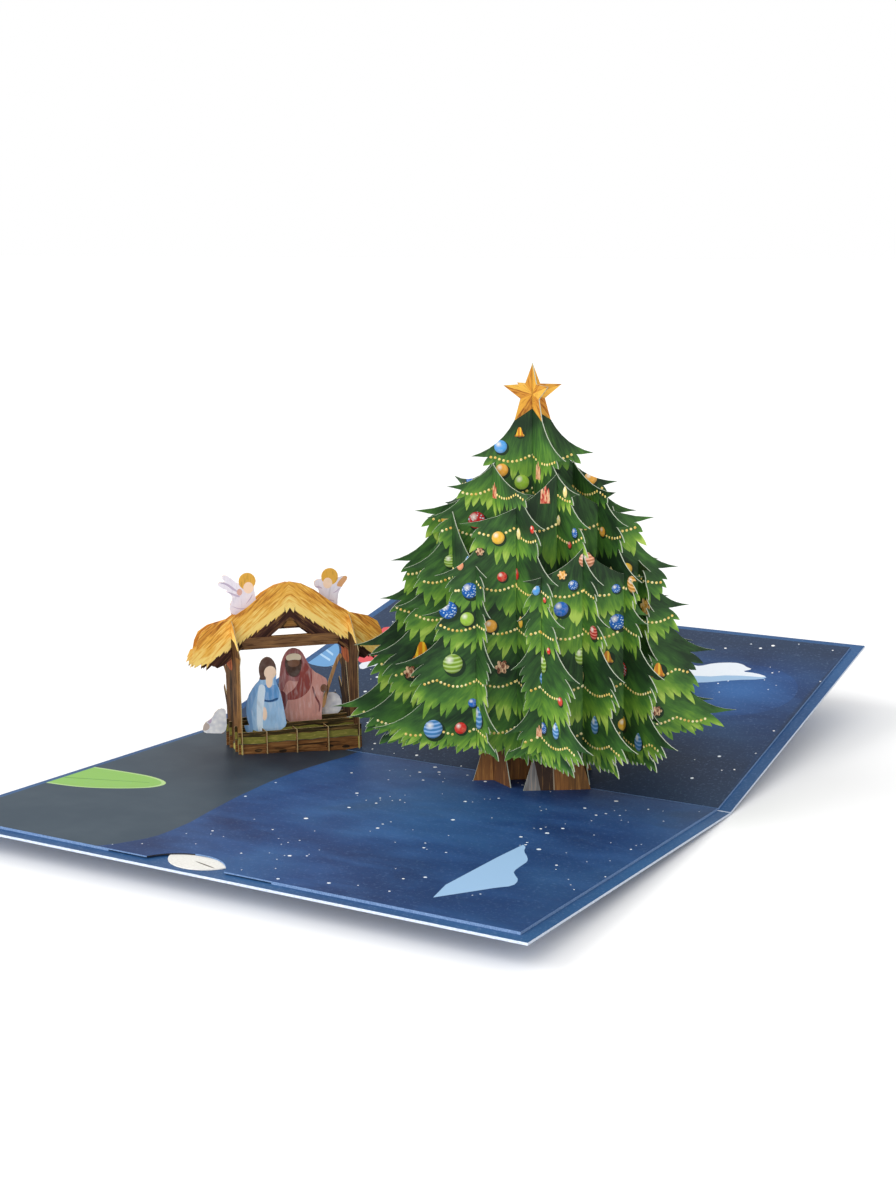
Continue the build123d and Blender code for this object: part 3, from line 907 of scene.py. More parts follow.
def tier_rows(tiers, seed):
    """The tiers of a slice with their fringes, and both sides' borders from the top to the skirt."""
    rows, halves = [], {side: [] for side in SIDES}
    for place, (start, tip, root) in enumerate(tiers):
        length = FINGER_LENGTH + tip[0] * FINGER_LENGTH_SHARE
        middle = (0.0, root[1] - length * random.Random(seed + place).uniform(*MIDDLE_DROPS))
        lines = []
        for side in SIDES:
            own = seed + 10 * place + side
            hanging = branch_fringe(start, tip, root, length, own)
            halves[side] += branch_edge(start, tip)[1:] + hanging[1:]
            printed = fringe(root, middle, length * PRINTED_SHARE, TIER_LEANS, own + 4)
            lines.append(hanging + printed + [middle])
        line = lines[0] + mirrored(lines[1])[1:]
        rows.append({"line": line, "start": start, "tip": tip, "root": root, "middle": middle})
    return rows, halves


def tree_sheet(family, number):
    """Everything that a slice of the tree is drawn from."""
    wide = family == "wide"
    own_pitch, step = (WIDE_PITCH, CROSS_PITCH) if wide else (CROSS_PITCH, WIDE_PITCH)
    angle = WIDE_ANGLE if wide else -CROSS_ANGLE
    across = heading(-CROSS_ANGLE if wide else WIDE_ANGLE)
    origin = Vector((TREE_PLACE, 0, 0)) * MM + across * (step * number * MM)
    rank = abs(number)
    offset = rank * step * math.sin(math.radians(TREE_CROSSING))
    plane = upright(origin, angle)
    tiers = tiers_of(rank, own_pitch, offset)
    seed = 100 * (number + 3) + (0 if wide else 50)
    rows, halves = tier_rows(tiers, seed)
    skirt = chord(TREE_REACH * SKIRT_REACH_SHARE, offset)
    if rank == OUTER_RANK:
        skirt = min(skirt, OUTER_SKIRT_SHARE * own_pitch)
    trunked = rank < len(TRUNK_TOPS[family])
    inner = (TRUNK_TOPS[family][rank], TRUNK_HEIGHT) if trunked else (0.0, SKIRT_MIDDLE_HEIGHT)
    tip = (skirt, SKIRT_HEIGHT + SKIRT_LIFTS.get((family, number), SKIRT_LIFT))
    top = star_half() if rank == 0 else [tiers[0][0]]
    length = FINGER_LENGTH + skirt * FINGER_LENGTH_SHARE * SKIRT_FINGER_SHARE
    right, left = (
        top + halves[side] + [tip] + fringe(tip, inner, length, SKIRT_LEANS, seed + 90 + side) + [inner]
        for side in SIDES
    )
    foot = None
    if trunked:
        foot = TRUNK_FEET[family][rank]
        outline = right + floor_line(plane, foot, -foot) + mirrored(left)[:-1]
    else:
        outline = right + mirrored(left)[1:-1]
    return {
        "label": f"tree_{family}_slice_{number + OUTER_RANK + 1}", "family": family, "rank": rank,
        "plane": plane, "outline": outline, "holes": tree_slots(rank, wide, own_pitch), "rows": rows,
        "inner": inner, "foot": foot, "skirt": tip, "pitch": own_pitch, "seed": seed, "ornaments": [],
    }


def tree_slots(rank, wide, pitch):
    """A slice's half-lap slots. The outermost slices of both families don't meet."""
    slots = []
    for crossed in range(-OUTER_RANK, OUTER_RANK + 1):
        other = abs(crossed)
        if rank == other == OUTER_RANK:
            continue
        lap = TREE_HEIGHT * SLOT_END_SHARES[max(rank, other)]
        from_top = rank > other or (rank == other and wide)
        low, high = (lap, TREE_HEIGHT + OVERRUN) if from_top else (-OVERRUN, lap + SLOT_CLEARANCE)
        slots.append(slot_ring(crossed * pitch, TREE_SLOT, low, high))
    return slots


def tier_fields(sheet):
    """Needle fields, one above the other, each ending in its own fringe."""
    fields = []
    above = None
    for row in sheet["rows"]:
        line = row["line"]
        border = [(FAR, FAR), (FAR, line[0][1])] + line + [(-FAR, line[-1][1]), (-FAR, FAR)]
        start = row["start"]
        top = above or (start[1] + 2.0, start)
        shade = tier_shade(top, row["tip"], row["root"], row["middle"])
        fields.append(field(border, "needles", uv=fan_uv(start[1] + TIER_FAN), shade=shade))
        above = (row["middle"][1], row["root"])
    skirt, inner, foot = sheet["skirt"], sheet["inner"], sheet["foot"]
    shade = tier_shade(above, skirt, inner, (0.0, inner[1]))
    border = None
    if foot:
        half = [(FAR, FAR), (FAR, -FAR), (foot + 1, -FAR), (foot + 1, 0), inner]
        half += fringe(inner, (0.0, inner[1]), FINGER_LENGTH, TRUNK_LEANS, sheet["seed"])
        border = half + [(0.0, inner[1])] + mirrored(half)
    fields.append(field(border, "needles", uv=fan_uv(above[0] + SKIRT_FAN), shade=shade))
    return fields


def fan_uv(high):
    """Strokes that spread from a point on the tree's axis, above the tier."""
    def spread(points):
        x, down = points[:, 0], high - points[:, 1]
        return np.stack([np.arctan2(x, np.maximum(down, 1.0)), np.hypot(x, down) / 10.0], axis=1)

    return spread


TIER_SHADES = (0.12, 0.68)  # at a tier's top, and added to it at its fringe
TIER_CURVE = 2.2  # how late the needles grow light
FRINGE_DROPS = (3.5, 3.5, 3.0)  # below the middle, the roots and the tips


def tier_shade(top, tip, root, middle):
    """Dark under the tier above and light at the end of the tier's own fringe."""
    top_middle, top_root = top
    top_x = [0.0, max(top_root[0], 0.1), max(tip[0], top_root[0] + 0.2)]
    top_y = [top_middle, top_root[1], tip[1] + 1.0]
    low_x = [0.0, max(root[0], 0.1), max(tip[0], root[0] + 0.2)]
    low_y = [point[1] - drop for point, drop in zip((middle, root, tip), FRINGE_DROPS)]

    def share(points):
        x, y = np.abs(points[:, 0]), points[:, 1]
        high = np.interp(x, top_x, top_y)
        low = np.interp(x, low_x, low_y)
        down = np.clip((high - y) / np.maximum(high - low, 2.0), 0.0, 1.0)
        return TIER_SHADES[0] + TIER_SHADES[1] * down**TIER_CURVE

    return share


STAR_FACETS = (
    ink(232, 176, 70), ink(178, 106, 38), ink(238, 186, 82), ink(192, 118, 42), ink(214, 150, 56),
    ink(160, 92, 34), ink(226, 164, 60), ink(184, 110, 40), ink(240, 190, 84), ink(204, 134, 50),
)


def star_fields():
    """The star's ten facets, each a triangle from its middle. They overrun its edge a little."""
    middle = (0.0, TREE_HEIGHT - STAR_RADIUS)
    radii = (STAR_RADIUS * 1.02, STAR_RADIUS * STAR_INNER_SHARE * 1.05)

    def spread(points):
        x, y = points[:, 0], points[:, 1] - middle[1]
        return np.stack([np.arctan2(x, y), np.hypot(x, y) / 4.0], axis=1)

    corners = []
    for step in range(2 * STAR_TIPS):
        turn, radius = math.pi * step / STAR_TIPS, radii[step % 2]
        corners.append((radius * math.sin(turn), middle[1] + radius * math.cos(turn)))
    return [
        field([middle, corner, following], "star", paint=colour, uv=spread)
        for colour, corner, following in zip(STAR_FACETS, corners, corners[1:] + corners[:1])
    ]


TRUNK_INKS = {"wide": ink(150, 98, 46), "cross": ink(112, 70, 36)}
FRONT_TRUNK_SLICE = "tree_wide_slice_4"
FRONT_TRUNK = (  # a bare flap painted grey as card in shade, a pale seam, a painted shadow for a hollow, and bark painted lighter as lit
    ("trunk", ink(140, 140, 138), ((-13.0, 17.5), (-9.0, 17.5), (-5.0, -2.0), (-13.0, -2.0))),
    ("paint", ink(161, 145, 122), ((-1.9, 19.0), (-1.6, 19.0), (-0.6, -2.0), (-1.1, -2.0))),
    ("trunk", ink(55, 36, 22), ((-9.0, 17.5), (-1.8, 19.0), (-1.0, -2.0), (-5.0, -2.0))),
    ("trunk", ink(131, 89, 41), ((3.0, 19.0), (9.0, 19.0), (14.0, -2.0), (5.0, -2.0))),
)


def build_tree_sheet(sheet):
    fields = [ornament_field(o) for o in sheet["ornaments"]]
    fields += [cast_shade(o) for o in sheet["ornaments"]]
    if sheet["rank"] == 0:
        fields += star_fields()
    fields += tier_fields(sheet)
    if sheet["label"] == FRONT_TRUNK_SLICE:
        fields += [field(list(border), name, paint=paint) for name, paint, border in FRONT_TRUNK]
    fields.append(field(None, "trunk", paint=TRUNK_INKS[sheet["family"]]))
    made = sheet_mesh(
        sheet["label"] + "_print", sheet["plane"], TREE_WALL, [sheet["outline"]], fields, sheet["holes"]
    )
    print_piece(made, "tree_print", sheet["label"])


# Ornaments
RED = ink(214, 44, 36)
ORANGE = ink(246, 174, 56)
YELLOW = ink(248, 194, 56)
CREAM = ink(246, 228, 150)
LIME = ink(156, 200, 62)
SKY = ink(84, 164, 232)
BLUE = ink(26, 106, 196)
PEACH = ink(240, 156, 112)
CHESTNUT = ink(124, 62, 32)

BELL = (  # its right half
    (0.0, 1.0), (0.22, 0.92), (0.42, 0.55), (0.55, 0.05), (0.72, -0.4), (1.0, -0.72),
    (0.86, -0.95), (0.3, -0.88), (0.0, -1.05),
)
CANDLES = (
    (-1.0, -1.0), (-0.85, 0.35), (-0.62, 0.62), (-0.42, 0.35), (-0.3, -0.1), (-0.2, 0.7),
    (0.0, 1.0), (0.2, 0.7), (0.3, 0.0), (0.45, 0.25), (0.65, 0.5), (0.85, 0.22), (1.0, -1.0),
)
PETALS = 6


def drop_border(x, y, radius, tall):
    """A teardrop with its point up."""
    border = []
    for step in range(24):
        angle = 2 * math.pi * step / 24
        rise = math.sin(angle)
        pinch = 1.0 - 0.55 * max(rise, 0) ** 1.5
        border.append((x + radius * math.cos(angle) * pinch, y + radius * tall * rise))
    return border


def placed(shares, x, y, radius, tall):
    return [(x + radius * across, y + radius * tall * up) for across, up in shares]


def bell_border(x, y, radius, tall):
    return placed(list(BELL) + mirrored(BELL[1:-1]), x, y, radius, tall)


def candle_border(x, y, radius, tall):
    """Three tied candles."""
    return placed(CANDLES, x, y, radius, tall)


def flower_border(x, y, radius, tall):
    border = []
    for step in range(PETALS * 4):
        angle = 2 * math.pi * step / (PETALS * 4)
        reach = radius * (0.62 + 0.38 * abs(math.cos(PETALS * angle / 2)))
        border.append((x + reach * math.cos(angle), y + reach * tall * math.sin(angle)))
    return border


# Each kind of ornament: its border, how tall it is for its width, and its ink
KINDS = {
    "ball": (round_border, 1.0, "ball"),
    "net": (round_border, 1.0, "net"),
    "banded": (round_border, 1.0, "banded"),
    "oval": (round_border, 1.35, "ball"),
    "drop": (drop_border, 1.5, "ball"),
    "banded_drop": (drop_border, 1.45, "banded"),
    "bell": (bell_border, 1.0, "bell"),
    "candles": (candle_border, 2.1, "sprig"),
    "flower": (flower_border, 1.0, "sprig"),
}


def ornament_field(ornament):
    x, y, radius, kind, paint = ornament
    outline, tall, name = KINDS[kind]
    return field(outline(x, y, radius, tall), name, paint=paint, uv=round_uv(x, y, radius, tall))


# Baubles seen in the photograph: pixel across, pixel down, width in pixels, kind and ink
BAUBLES = [
    (519.5, 432, 10, "bell", YELLOW), (500.5, 446.6, 13, "ball", SKY),
    (501.7, 470, 13, "ball", ORANGE), (470, 479, 14, "net", BLUE), (521.7, 482, 15, "ball", LIME),
    (495, 490, 8, "candles", RED), (538.5, 470, 9, "candles", PEACH),
    (545, 493, 10, "candles", RED), (447.7, 519, 13, "ball", YELLOW), (476.5, 520, 17, "net", RED),
    (498, 537.7, 13, "ball", YELLOW), (519, 533.6, 8, "drop", CREAM),
    (565.5, 492, 8, "drop", CREAM), (559, 520, 7, "drop", CREAM), (532.6, 529.6, 8, "ball", RED),
    (502, 576.7, 10, "ball", RED), (517, 574, 8, "drop", RED),
    (479.7, 551.5, 9, "flower", CHESTNUT), (450.4, 561, 13, "banded", LIME),
    (460, 565, 7, "drop", PEACH), (469.6, 590.5, 16, "net", BLUE), (448, 610, 18, "net", BLUE),
    (616, 588.5, 9, "net", BLUE), (467, 619, 14, "ball", LIME), (490.5, 626, 13, "ball", ORANGE),
    (590.6, 478, 13, "ball", ORANGE), (602.8, 531.7, 10, "ball", ORANGE),
    (422, 651, 20, "bell", YELLOW), (657.7, 670, 15, "bell", YELLOW),
    (452.7, 663.7, 20, "banded", LIME), (543.4, 664, 13, "banded_drop", LIME),
    (580.9, 656, 12, "banded_drop", LIME), (410, 672, 14, "flower", CHESTNUT),
    (501.7, 667, 15, "flower", CHESTNUT), (472.5, 702.7, 9, "ball", BLUE),
    (433, 729, 19, "banded", SKY), (556, 731, 12, "banded_drop", SKY),
    (595, 725, 13, "banded_drop", SKY), (638.6, 742, 13, "banded_drop", SKY),
    (460.5, 728, 12, "ball", RED), (560.6, 701.6, 9, "ball", RED), (549, 651, 7, "ball", RED),
    (539, 730.7, 6, "candles", PEACH), (575, 533, 10, "net", BLUE),
    (586.6, 560, 16, "banded", PEACH), (593.9, 632.7, 14, "banded", RED),
    (632.5, 584.4, 17, "banded", ORANGE), (560.9, 609, 15, "ball", BLUE),
    (536, 590, 8, "oval", SKY), (607, 657, 13, "bell", ORANGE),
    (645.5, 606.7, 18, "flower", ORANGE), (570, 545, 7, "ball", RED), (573, 585, 10, "net", BLUE),
    (562, 575, 10, "flower", ORANGE), (521, 622, 8, "drop", YELLOW), (545, 600, 6, "ball", RED),
]
EDGE_MARGIN = 0.8  # a bauble's print stays this far inside its slice


def hang_baubles(sheets):
    """Give each bauble to the slice that its pixel shows."""
    for across, down, width, kind, paint in BAUBLES:
        best = None
        for sheet in sheets:
            x, y, reach = photo_hit(sheet["plane"], across, down)
            spot = np.array([[x, y]])
            if reach <= 0 or not inside(spot, sheet["outline"])[0]:
                continue
            if best is None or reach < best[0]:
                best = (reach, sheet, x, y)
        if best:
            reach, sheet, x, y = best
            radius = width / 2 * reach / CAMERA_FOCAL_PIXELS / MM
            sheet["ornaments"].append((x, y, radius, kind, paint))


CAST_PLACE = (0.22, -0.26)  # from an ornament's middle, of its radius
CAST_SIZE = 1.12
CAST_SHADE = -0.45  # darker than the needles are anywhere


def cast_shade(ornament):
    """The painted shade below and to the right of an ornament."""
    def shade(points):
        return np.full(len(points), CAST_SHADE)

    x, y, radius = ornament[:3]
    border = round_border(x + radius * CAST_PLACE[0], y + radius * CAST_PLACE[1], radius * CAST_SIZE)
    return field(border, "needles", uv=fan_uv(y + ORNAMENT_FAN), shade=shade)


SPARE_KINDS = (
    ("ball", RED), ("banded_drop", SKY), ("ball", YELLOW), ("net", BLUE), ("drop", CREAM),
    ("bell", YELLOW), ("banded", LIME), ("ball", ORANGE), ("flower", CHESTNUT), ("net", RED),
)
SPARE_RADII = (1.9, 2.9)
SPARE_CLEARANCE = 7.0
SPARE_REACH = 0.5  # of the way from the axis to a tier's tip
SPARE_SHIFT = 0.08  # either way, of the same


def fill_bare_tiers(sheets):
    """Baubles for the tiers that the photograph doesn't show."""
    draw = random.Random(41)
    for sheet in sheets:
        for row in sheet["rows"]:
            for side in (1, -1):
                tip, root, start = row["tip"], row["root"], row["start"]
                x = side * (SPARE_REACH + draw.uniform(-SPARE_SHIFT, SPARE_SHIFT)) * tip[0]
                y = (start[1] + root[1]) / 2 - 1.5 + draw.uniform(-1.0, 1.0)
                y = min(y, tip[1] + 2.0)
                kind, paint = draw.choice(SPARE_KINDS)
                radius = draw.uniform(*SPARE_RADII)
                taken = any(math.dist((x, y), o[:2]) < SPARE_CLEARANCE for o in sheet["ornaments"])
                ring = np.array(round_border(x, y, radius + EDGE_MARGIN))
                if not taken and inside(ring, sheet["outline"]).all():
                    sheet["ornaments"].append((x, y, radius, kind, paint))


# Strings of beads
BEAD_RADIUS = 0.62
BEAD_SPACING = 1.5
BEAD_PROUD = 0.16  # a bead stands this far off the print on each side
SWAG_DEPTH = 2.2
STRING_REACH = 0.45  # of the way from a tier's roots to its tips
STRING_LEVEL = 0.58  # of the way from a tier's top to its middle
STRING_CURVE = 1.6


def string_runs(sheet):
    """Runs of points, on a slice, that its strings of beads follow."""
    runs = []
    above = None
    for row in sheet["rows"]:
        start, tip, root, middle = row["start"], row["tip"], row["root"], row["middle"]
        high = above if above else start[1] - 4.0
        reach = root[0] + (tip[0] - root[0]) * STRING_REACH
        run = []
        steps = max(8, int(2 * reach))
        for step in range(steps + 1):
            x = -reach + 2 * reach * step / steps
            share = abs(x) / max(reach, 0.1)
            level = high * (1 - STRING_LEVEL) + middle[1] * STRING_LEVEL
            edge = (tip[1] + root[1]) / 2 + 0.5
            y = level + (edge - level) * share**STRING_CURVE
            y -= SWAG_DEPTH * abs(math.sin(math.pi * x / sheet["pitch"]))
            run.append((x, y))
        runs.append(run)
        above = middle[1]
    return runs


def clear_of(point, sheet):
    """True where a bead would lie on bare needles."""
    for x, y, radius, kind, _ in sheet["ornaments"]:
        tall = KINDS["candles"][1] if kind == "candles" else 1.2
        if abs(point[0] - x) < radius + 0.3 and abs(point[1] - y) < radius * tall:
            return False
    ring = np.array(round_border(point[0], point[1], BEAD_RADIUS + 0.35, count=6))
    return bool(inside(ring, sheet["outline"]).all())


class Scatter(Graph):
    """A geometry node tree that puts one small shape at many places on a guide mesh."""

    def __init__(self, name, sizes):
        super().__init__(bpy.data.node_groups.new(name, "GeometryNodeTree"))
        self.tree.is_modifier = True
        add = self.tree.interface.new_socket
        add("Geometry", in_out="INPUT", socket_type="NodeSocketGeometry")
        for label, value in sizes.items():
            kind = "NodeSocketInt" if label == "Seed" else "NodeSocketFloat"
            add(label, in_out="INPUT", socket_type=kind).default_value = value
        add("Material", in_out="INPUT", socket_type="NodeSocketMaterial")
        add("Geometry", in_out="OUTPUT", socket_type="NodeSocketGeometry")
        self.source = self.node("NodeGroupInput").outputs

    def finish(self, points, shape, rotation, width):
        """One shape at every point, all of them as one mesh in the given material."""
        scale = {"X": width, "Y": width, "Z": self.source["Half Depth"]}
        scale = self.node("ShaderNodeCombineXYZ", scale).outputs["Vector"]
        inputs = {"Points": points, "Instance": shape, "Rotation": rotation, "Scale": scale}
        made = self.node("GeometryNodeInstanceOnPoints", inputs).outputs["Instances"]
        made = self.node("GeometryNodeRealizeInstances", {"Geometry": made}).outputs["Geometry"]
        inputs = {"Geometry": made, "Material": self.source["Material"]}
        made = self.node("GeometryNodeSetMaterial", inputs).outputs["Geometry"]
        self.node("NodeGroupOutput", {"Geometry": made})
        return self.tree


def bead_nodes():
    """Beads at a set spacing along every string, each turned to its slice."""
    half_depth = (TREE_WALL / 2 + BEAD_PROUD) * MM
    sizes = {"Spacing": BEAD_SPACING * MM, "Radius": BEAD_RADIUS * MM, "Half Depth": half_depth}
    s = Scatter("bead_string", sizes)
    curve = s.node("GeometryNodeMeshToCurve", {"Mesh": s.source["Geometry"]}).outputs["Curve"]
    inputs = {"Curve": curve, "Length": s.source["Spacing"]}
    points = s.node("GeometryNodeResampleCurve", inputs, mode="LENGTH").outputs["Curve"]
    ball = s.node("GeometryNodeMeshUVSphere", {"Segments": 8, "Rings": 4, "Radius": 1.0})
    face = s.node("GeometryNodeInputNamedAttribute", {"Name": "slice_face"}, data_type="FLOAT_VECTOR")
    turn = s.node("FunctionNodeAlignRotationToVector", {"Vector": face.outputs["Attribute"]}, axis="Z")
    return s.finish(points, ball.outputs["Mesh"], turn.outputs["Rotation"], s.source["Radius"])


def grown(name, guide_mesh, tree, material):
    """The mesh that a node tree makes on a guide mesh."""
    guide = in_scene(name + "_guide", guide_mesh)
    modifier = guide.modifiers.new("nodes", "NODES")
    modifier.node_group = tree
    socket = next(item for item in tree.interface.items_tree if item.name == "Material")
    modifier[socket.identifier] = material
    bpy.context.view_layer.update()
    graph = bpy.context.evaluated_depsgraph_get()
    mesh = bpy.data.meshes.new_from_object(guide.evaluated_get(graph))
    guide.modifiers.remove(modifier)
    bpy.data.objects.remove(guide)
    mesh.name = name
    return in_scene(name, mesh)


def string_beads(sheets, name):
    """Every string of beads on some slices, as one mesh."""
    points, edges, faces = [], [], []
    for sheet in sheets:
        for run in string_runs(sheet):
            previous = None
            for spot in run:
                if not clear_of(spot, sheet):
                    previous = None
                    continue
                points.append(sheet["plane"].point(*spot))
                faces.append(tuple(sheet["plane"].face))
                if previous is not None:
                    edges.append((previous, len(points) - 1))
                previous = len(points) - 1
    guide = bpy.data.meshes.new(name + "_guide")
    guide.from_pydata(points, edges, [])
    attribute = guide.attributes.new("slice_face", "FLOAT_VECTOR", "POINT")
    attribute.data.foreach_set("vector", np.array(faces, np.float32).ravel())
    print_piece(grown(name, guide, bead_nodes(), INKS["beads"]), "tree_print")


def build_tree():
    numbers = range(-OUTER_RANK, OUTER_RANK + 1)
    sheets = [tree_sheet(family, number) for family in ("wide", "cross") for number in numbers]
    hang_baubles(sheets)
    fill_bare_tiers(sheets)
    for sheet in sheets:
        build_tree_sheet(sheet)
    for family in ("wide", "cross"):
        string_beads([s for s in sheets if s["family"] == family], f"bead_strings_{family}")


# Stable
STABLE_CORNER = Vector((STABLE_X, STABLE_Y, 0)) * MM
FRONT_RUN = heading(FRONT_ANGLE)
SIDE_RUN = heading(SIDE_ANGLE)
STABLE_SLOT = slot_width(STABLE_WALL, SIDE_ANGLE - FRONT_ANGLE)
WALL_PLACES = [0.0] + [STABLE_WIDTH * share for share in RIB_SHARES] + [STABLE_WIDTH]
RAIL_PLACES = [STABLE_DEPTH * share for share in RAIL_SHARES.values()]
ROOF_PLACES = [STABLE_DEPTH * share for share in ROOF_SHARES.values()]
CRATE_LAP = FENCE_HEIGHT * CRATE_LAP_SHARE
ROOF_LAP = STABLE_HEIGHT * ROOF_LAP_SHARE

# Half outline of the thatch: shares of half the stable's width and of its height
THATCH_TOP = (
    (0.0, 1.0), (0.2, 0.985), (0.42, 0.945), (0.52, 0.918), (0.72, 0.866), (0.97, 0.815),
    (1.02, 0.802), (1.34, 0.775), (1.5, 0.74), (1.57, 0.69), (1.6, 0.64),
)
THATCH_EAVE = ((1.62, 0.566), (1.34, 0.548))
TRUSS_FOOT = ((1.34, 0.545), (1.26, 0.525), (1.14, 0.54), (1.0, 0.578), (0.86, 0.621))
STRAW_EDGE = (  # where the printed straw ends over the truss
    (1.66, 0.545), (1.36, 0.58), (1.2, 0.622), (1.0, 0.662), (0.8, 0.702),
    (0.55, 0.752), (0.25, 0.812), (0.0, 0.862),
)
GABLE_GAP = ((0.36, 0.687), (0.2, 0.73))
STRAW_SHAPE = ((0.0, -0.5), (0.45, -0.34), (1.0, -0.05), (0.5, 0.26), (0.0, 0.5))
STRAW_WIDTH = 1.9
STRAW_LENGTH = 3.2
STRAW_FALL = 42.0  # degrees, from the level
PRINTED_LEANS = (0.42, 0.3)
EAVE_LEANS = (0.9, 0.5)
ROLL_SHARE = 0.145  # of the roof's height, from the straw's lower ends to the ridge roll
SIDE_WALL = (  # of the depth and of the height
    (0.0, 0.172), (0.02, 0.56), (-0.02, 0.585), (-0.05, 0.605), (0.08, 0.655),
    (0.24, 0.715), (0.38, 0.765), (0.5, 0.792), (0.64, 0.79), (0.8, 0.752), (0.98, 0.68),
    (1.12, 0.615), (1.06, 0.585), (0.96, 0.56), (1.0, 0.5), (1.16, 0.52), (1.19, 0.5),
    (1.01, 0.46), (1.0, 0.33), (1.17, 0.385), (1.2, 0.365), (1.02, 0.27),
)

SEAM_SHARE = 0.62  # of a rail's height
SHADOW_SHARE = 0.22
WAVE = 0.35  # of the hay's lower edge, in millimetres

# Paints
LOG = ink(112, 74, 42)
OLIVE = ink(122, 118, 48)
DARK_OLIVE = ink(58, 50, 28)
FLAP_OLIVE = ink(168, 160, 68)
TRUSS = ink(70, 44, 38)
BEAM = ink(122, 88, 60)
POST = ink(84, 57, 36)
POST_OCHRE = ink(136, 96, 52)
POST_DARK = ink(44, 32, 24)
KNOT_RED = ink(170, 84, 48)
PALE_SEAM = ink(206, 186, 140)
SKIN = ink(250, 218, 190)
BROWN_SKIN = ink(118, 80, 58)
BEARD = ink(72, 50, 40)
HAIR = ink(88, 60, 50)
ROBE_BLUE = ink(156, 194, 228)
VEIL_BLUE = ink(124, 168, 214)
PALE_BLUE = ink(218, 234, 246)
SLEEVE_BLUE = ink(98, 154, 208)
SEAM_BLUE = ink(44, 84, 132)
ROBE_MAUVE = ink(206, 148, 136)
HOOD_MAUVE = ink(162, 98, 94)
HOOD_DARK = ink(122, 62, 62)
SASH_RED = ink(146, 70, 62)
HEADBAND = ink(222, 204, 176)
CROOK = ink(176, 134, 92)
DRESS_LILAC = ink(232, 226, 238)
WING_LILAC = ink(244, 236, 246)
WING_SHADE = ink(196, 180, 204)
ANGEL_HAIR = ink(230, 174, 70)
HORN = ink(222, 164, 112)
WOOL = ink(240, 240, 242)
ROSY = ink(222, 170, 156)
MUZZLE = ink(196, 180, 172)


def spread(shares, width=STABLE_WIDTH, height=STABLE_HEIGHT, middle=0.0):
    return [(middle + across * width, up * height) for across, up in shares]


def oval(across, up, radius, tall=1.0):
    return round_border(across * STABLE_WIDTH, up * STABLE_HEIGHT, radius, tall, 18)


def softened(points, rounds=2):
    """A border with its corners cut, as scissors round them."""
    for _ in range(rounds):
        cut = []
        for start, end in zip(points, points[1:] + points[:1]):
            cut += [along(start, end, 0.25), along(start, end, 0.75)]
        points = cut
    return points


def drawn(paint, *shares, name="robe"):
    """A soft-edged field of one figure, by shares of the stable's width and height."""
    return field(softened(spread(shares)), name, paint=paint)


def inked(paint, *shares):
    """The same in flat ink."""
    return drawn(paint, *shares, name="paint")


def disc(paint, across, up, radius, tall=1.0, name="paint"):
    return field(oval(across, up, radius, tall), name, paint=paint)


def level_uv(points):
    """Grain that runs level, along a rail."""
    return points[:, ::-1]


def face_plane(depth_share):
    return upright(STABLE_CORNER + SIDE_RUN * (STABLE_DEPTH * depth_share * MM), FRONT_ANGLE)


def rail_fields(height, seed):
    """Hay above a knotty log, with a dark seam between the two and shadow above the hay."""
    draw = random.Random(seed)
    seam = height * SEAM_SHARE
    wave = [(x, seam + draw.uniform(-WAVE, WAVE)) for x in range(-4, 54, 3)]
    over = [(54, 40), (-4, 40)]
    thread = wave + [(x, y - 0.3) for x, y in reversed(wave)]
    shadow = [(x, y + height * SHADOW_SHARE) for x, y in wave] + over
    knots = []
    for knot in range(5):
        x, y = 5.0 + 9.0 * knot + draw.uniform(-2, 2), seam * draw.uniform(0.35, 0.7)
        knots.append(field(round_border(x, y, 1.5, 0.45, 12), "bark", paint=POST_DARK, uv=level_uv))
    return knots + [
        field(thread, "paint", paint=DARK_OLIVE),
        field(shadow, "bark", paint=DARK_OLIVE, uv=level_uv),
        field(wave + over, "hay", paint=OLIVE, uv=level_uv),
        field(None, "bark", paint=LOG, uv=level_uv),
    ]


def build_rail(name, share, height, figures, fields, slot):
    """A rail of the crate with the figures that are cut on it."""
    plane = face_plane(RAIL_SHARES[share])
    ends = (-WALL_OVERHANG, STABLE_WIDTH + WALL_OVERHANG)
    rail = [(ends[1], height), (ends[0], height)] + floor_line(plane, *ends)
    holes = [slot_ring(x, STABLE_SLOT, -OVERRUN, CRATE_LAP + SLOT_CLEARANCE) for x in WALL_PLACES[1:-1]]
    holes += [slot_ring(x, STABLE_SLOT, CRATE_LAP, height + OVERRUN) for x in (0.0, STABLE_WIDTH)]
    printed = fields + rail_fields(height, int(100 * RAIL_SHARES[share]))
    rings = [rail] + [softened(spread(shares), 1) for shares in figures]
    made = sheet_mesh(name + "_print", plane, STABLE_WALL, rings, printed, holes, edge="tan_edge")
    print_piece(made, slot, name)


BLUE_ROBE = (
    (0.135, 0.15), (0.085, 0.215), (0.072, 0.285), (0.09, 0.36), (0.15, 0.425),
    (0.205, 0.46), (0.19, 0.515), (0.205, 0.56), (0.24, 0.584), (0.275, 0.588),
    (0.315, 0.57), (0.342, 0.53), (0.34, 0.47), (0.335, 0.435), (0.37, 0.385),
    (0.4, 0.265), (0.425, 0.15),
)
BROWN_ROBE = (
    (0.455, 0.15), (0.432, 0.3), (0.405, 0.375), (0.42, 0.47), (0.44, 0.54),
    (0.485, 0.592), (0.545, 0.606), (0.61, 0.585), (0.65, 0.53), (0.695, 0.465),
    (0.8, 0.42), (0.826, 0.405), (0.83, 0.345), (0.785, 0.33), (0.785, 0.25),
    (0.77, 0.21), (0.775, 0.15),
)
CROOK_STAFF = (
    (0.772, 0.242), (0.805, 0.335), (0.905, 0.525), (0.945, 0.556), (0.965, 0.535),
    (0.945, 0.52), (0.925, 0.505), (0.832, 0.33), (0.8, 0.235),
)
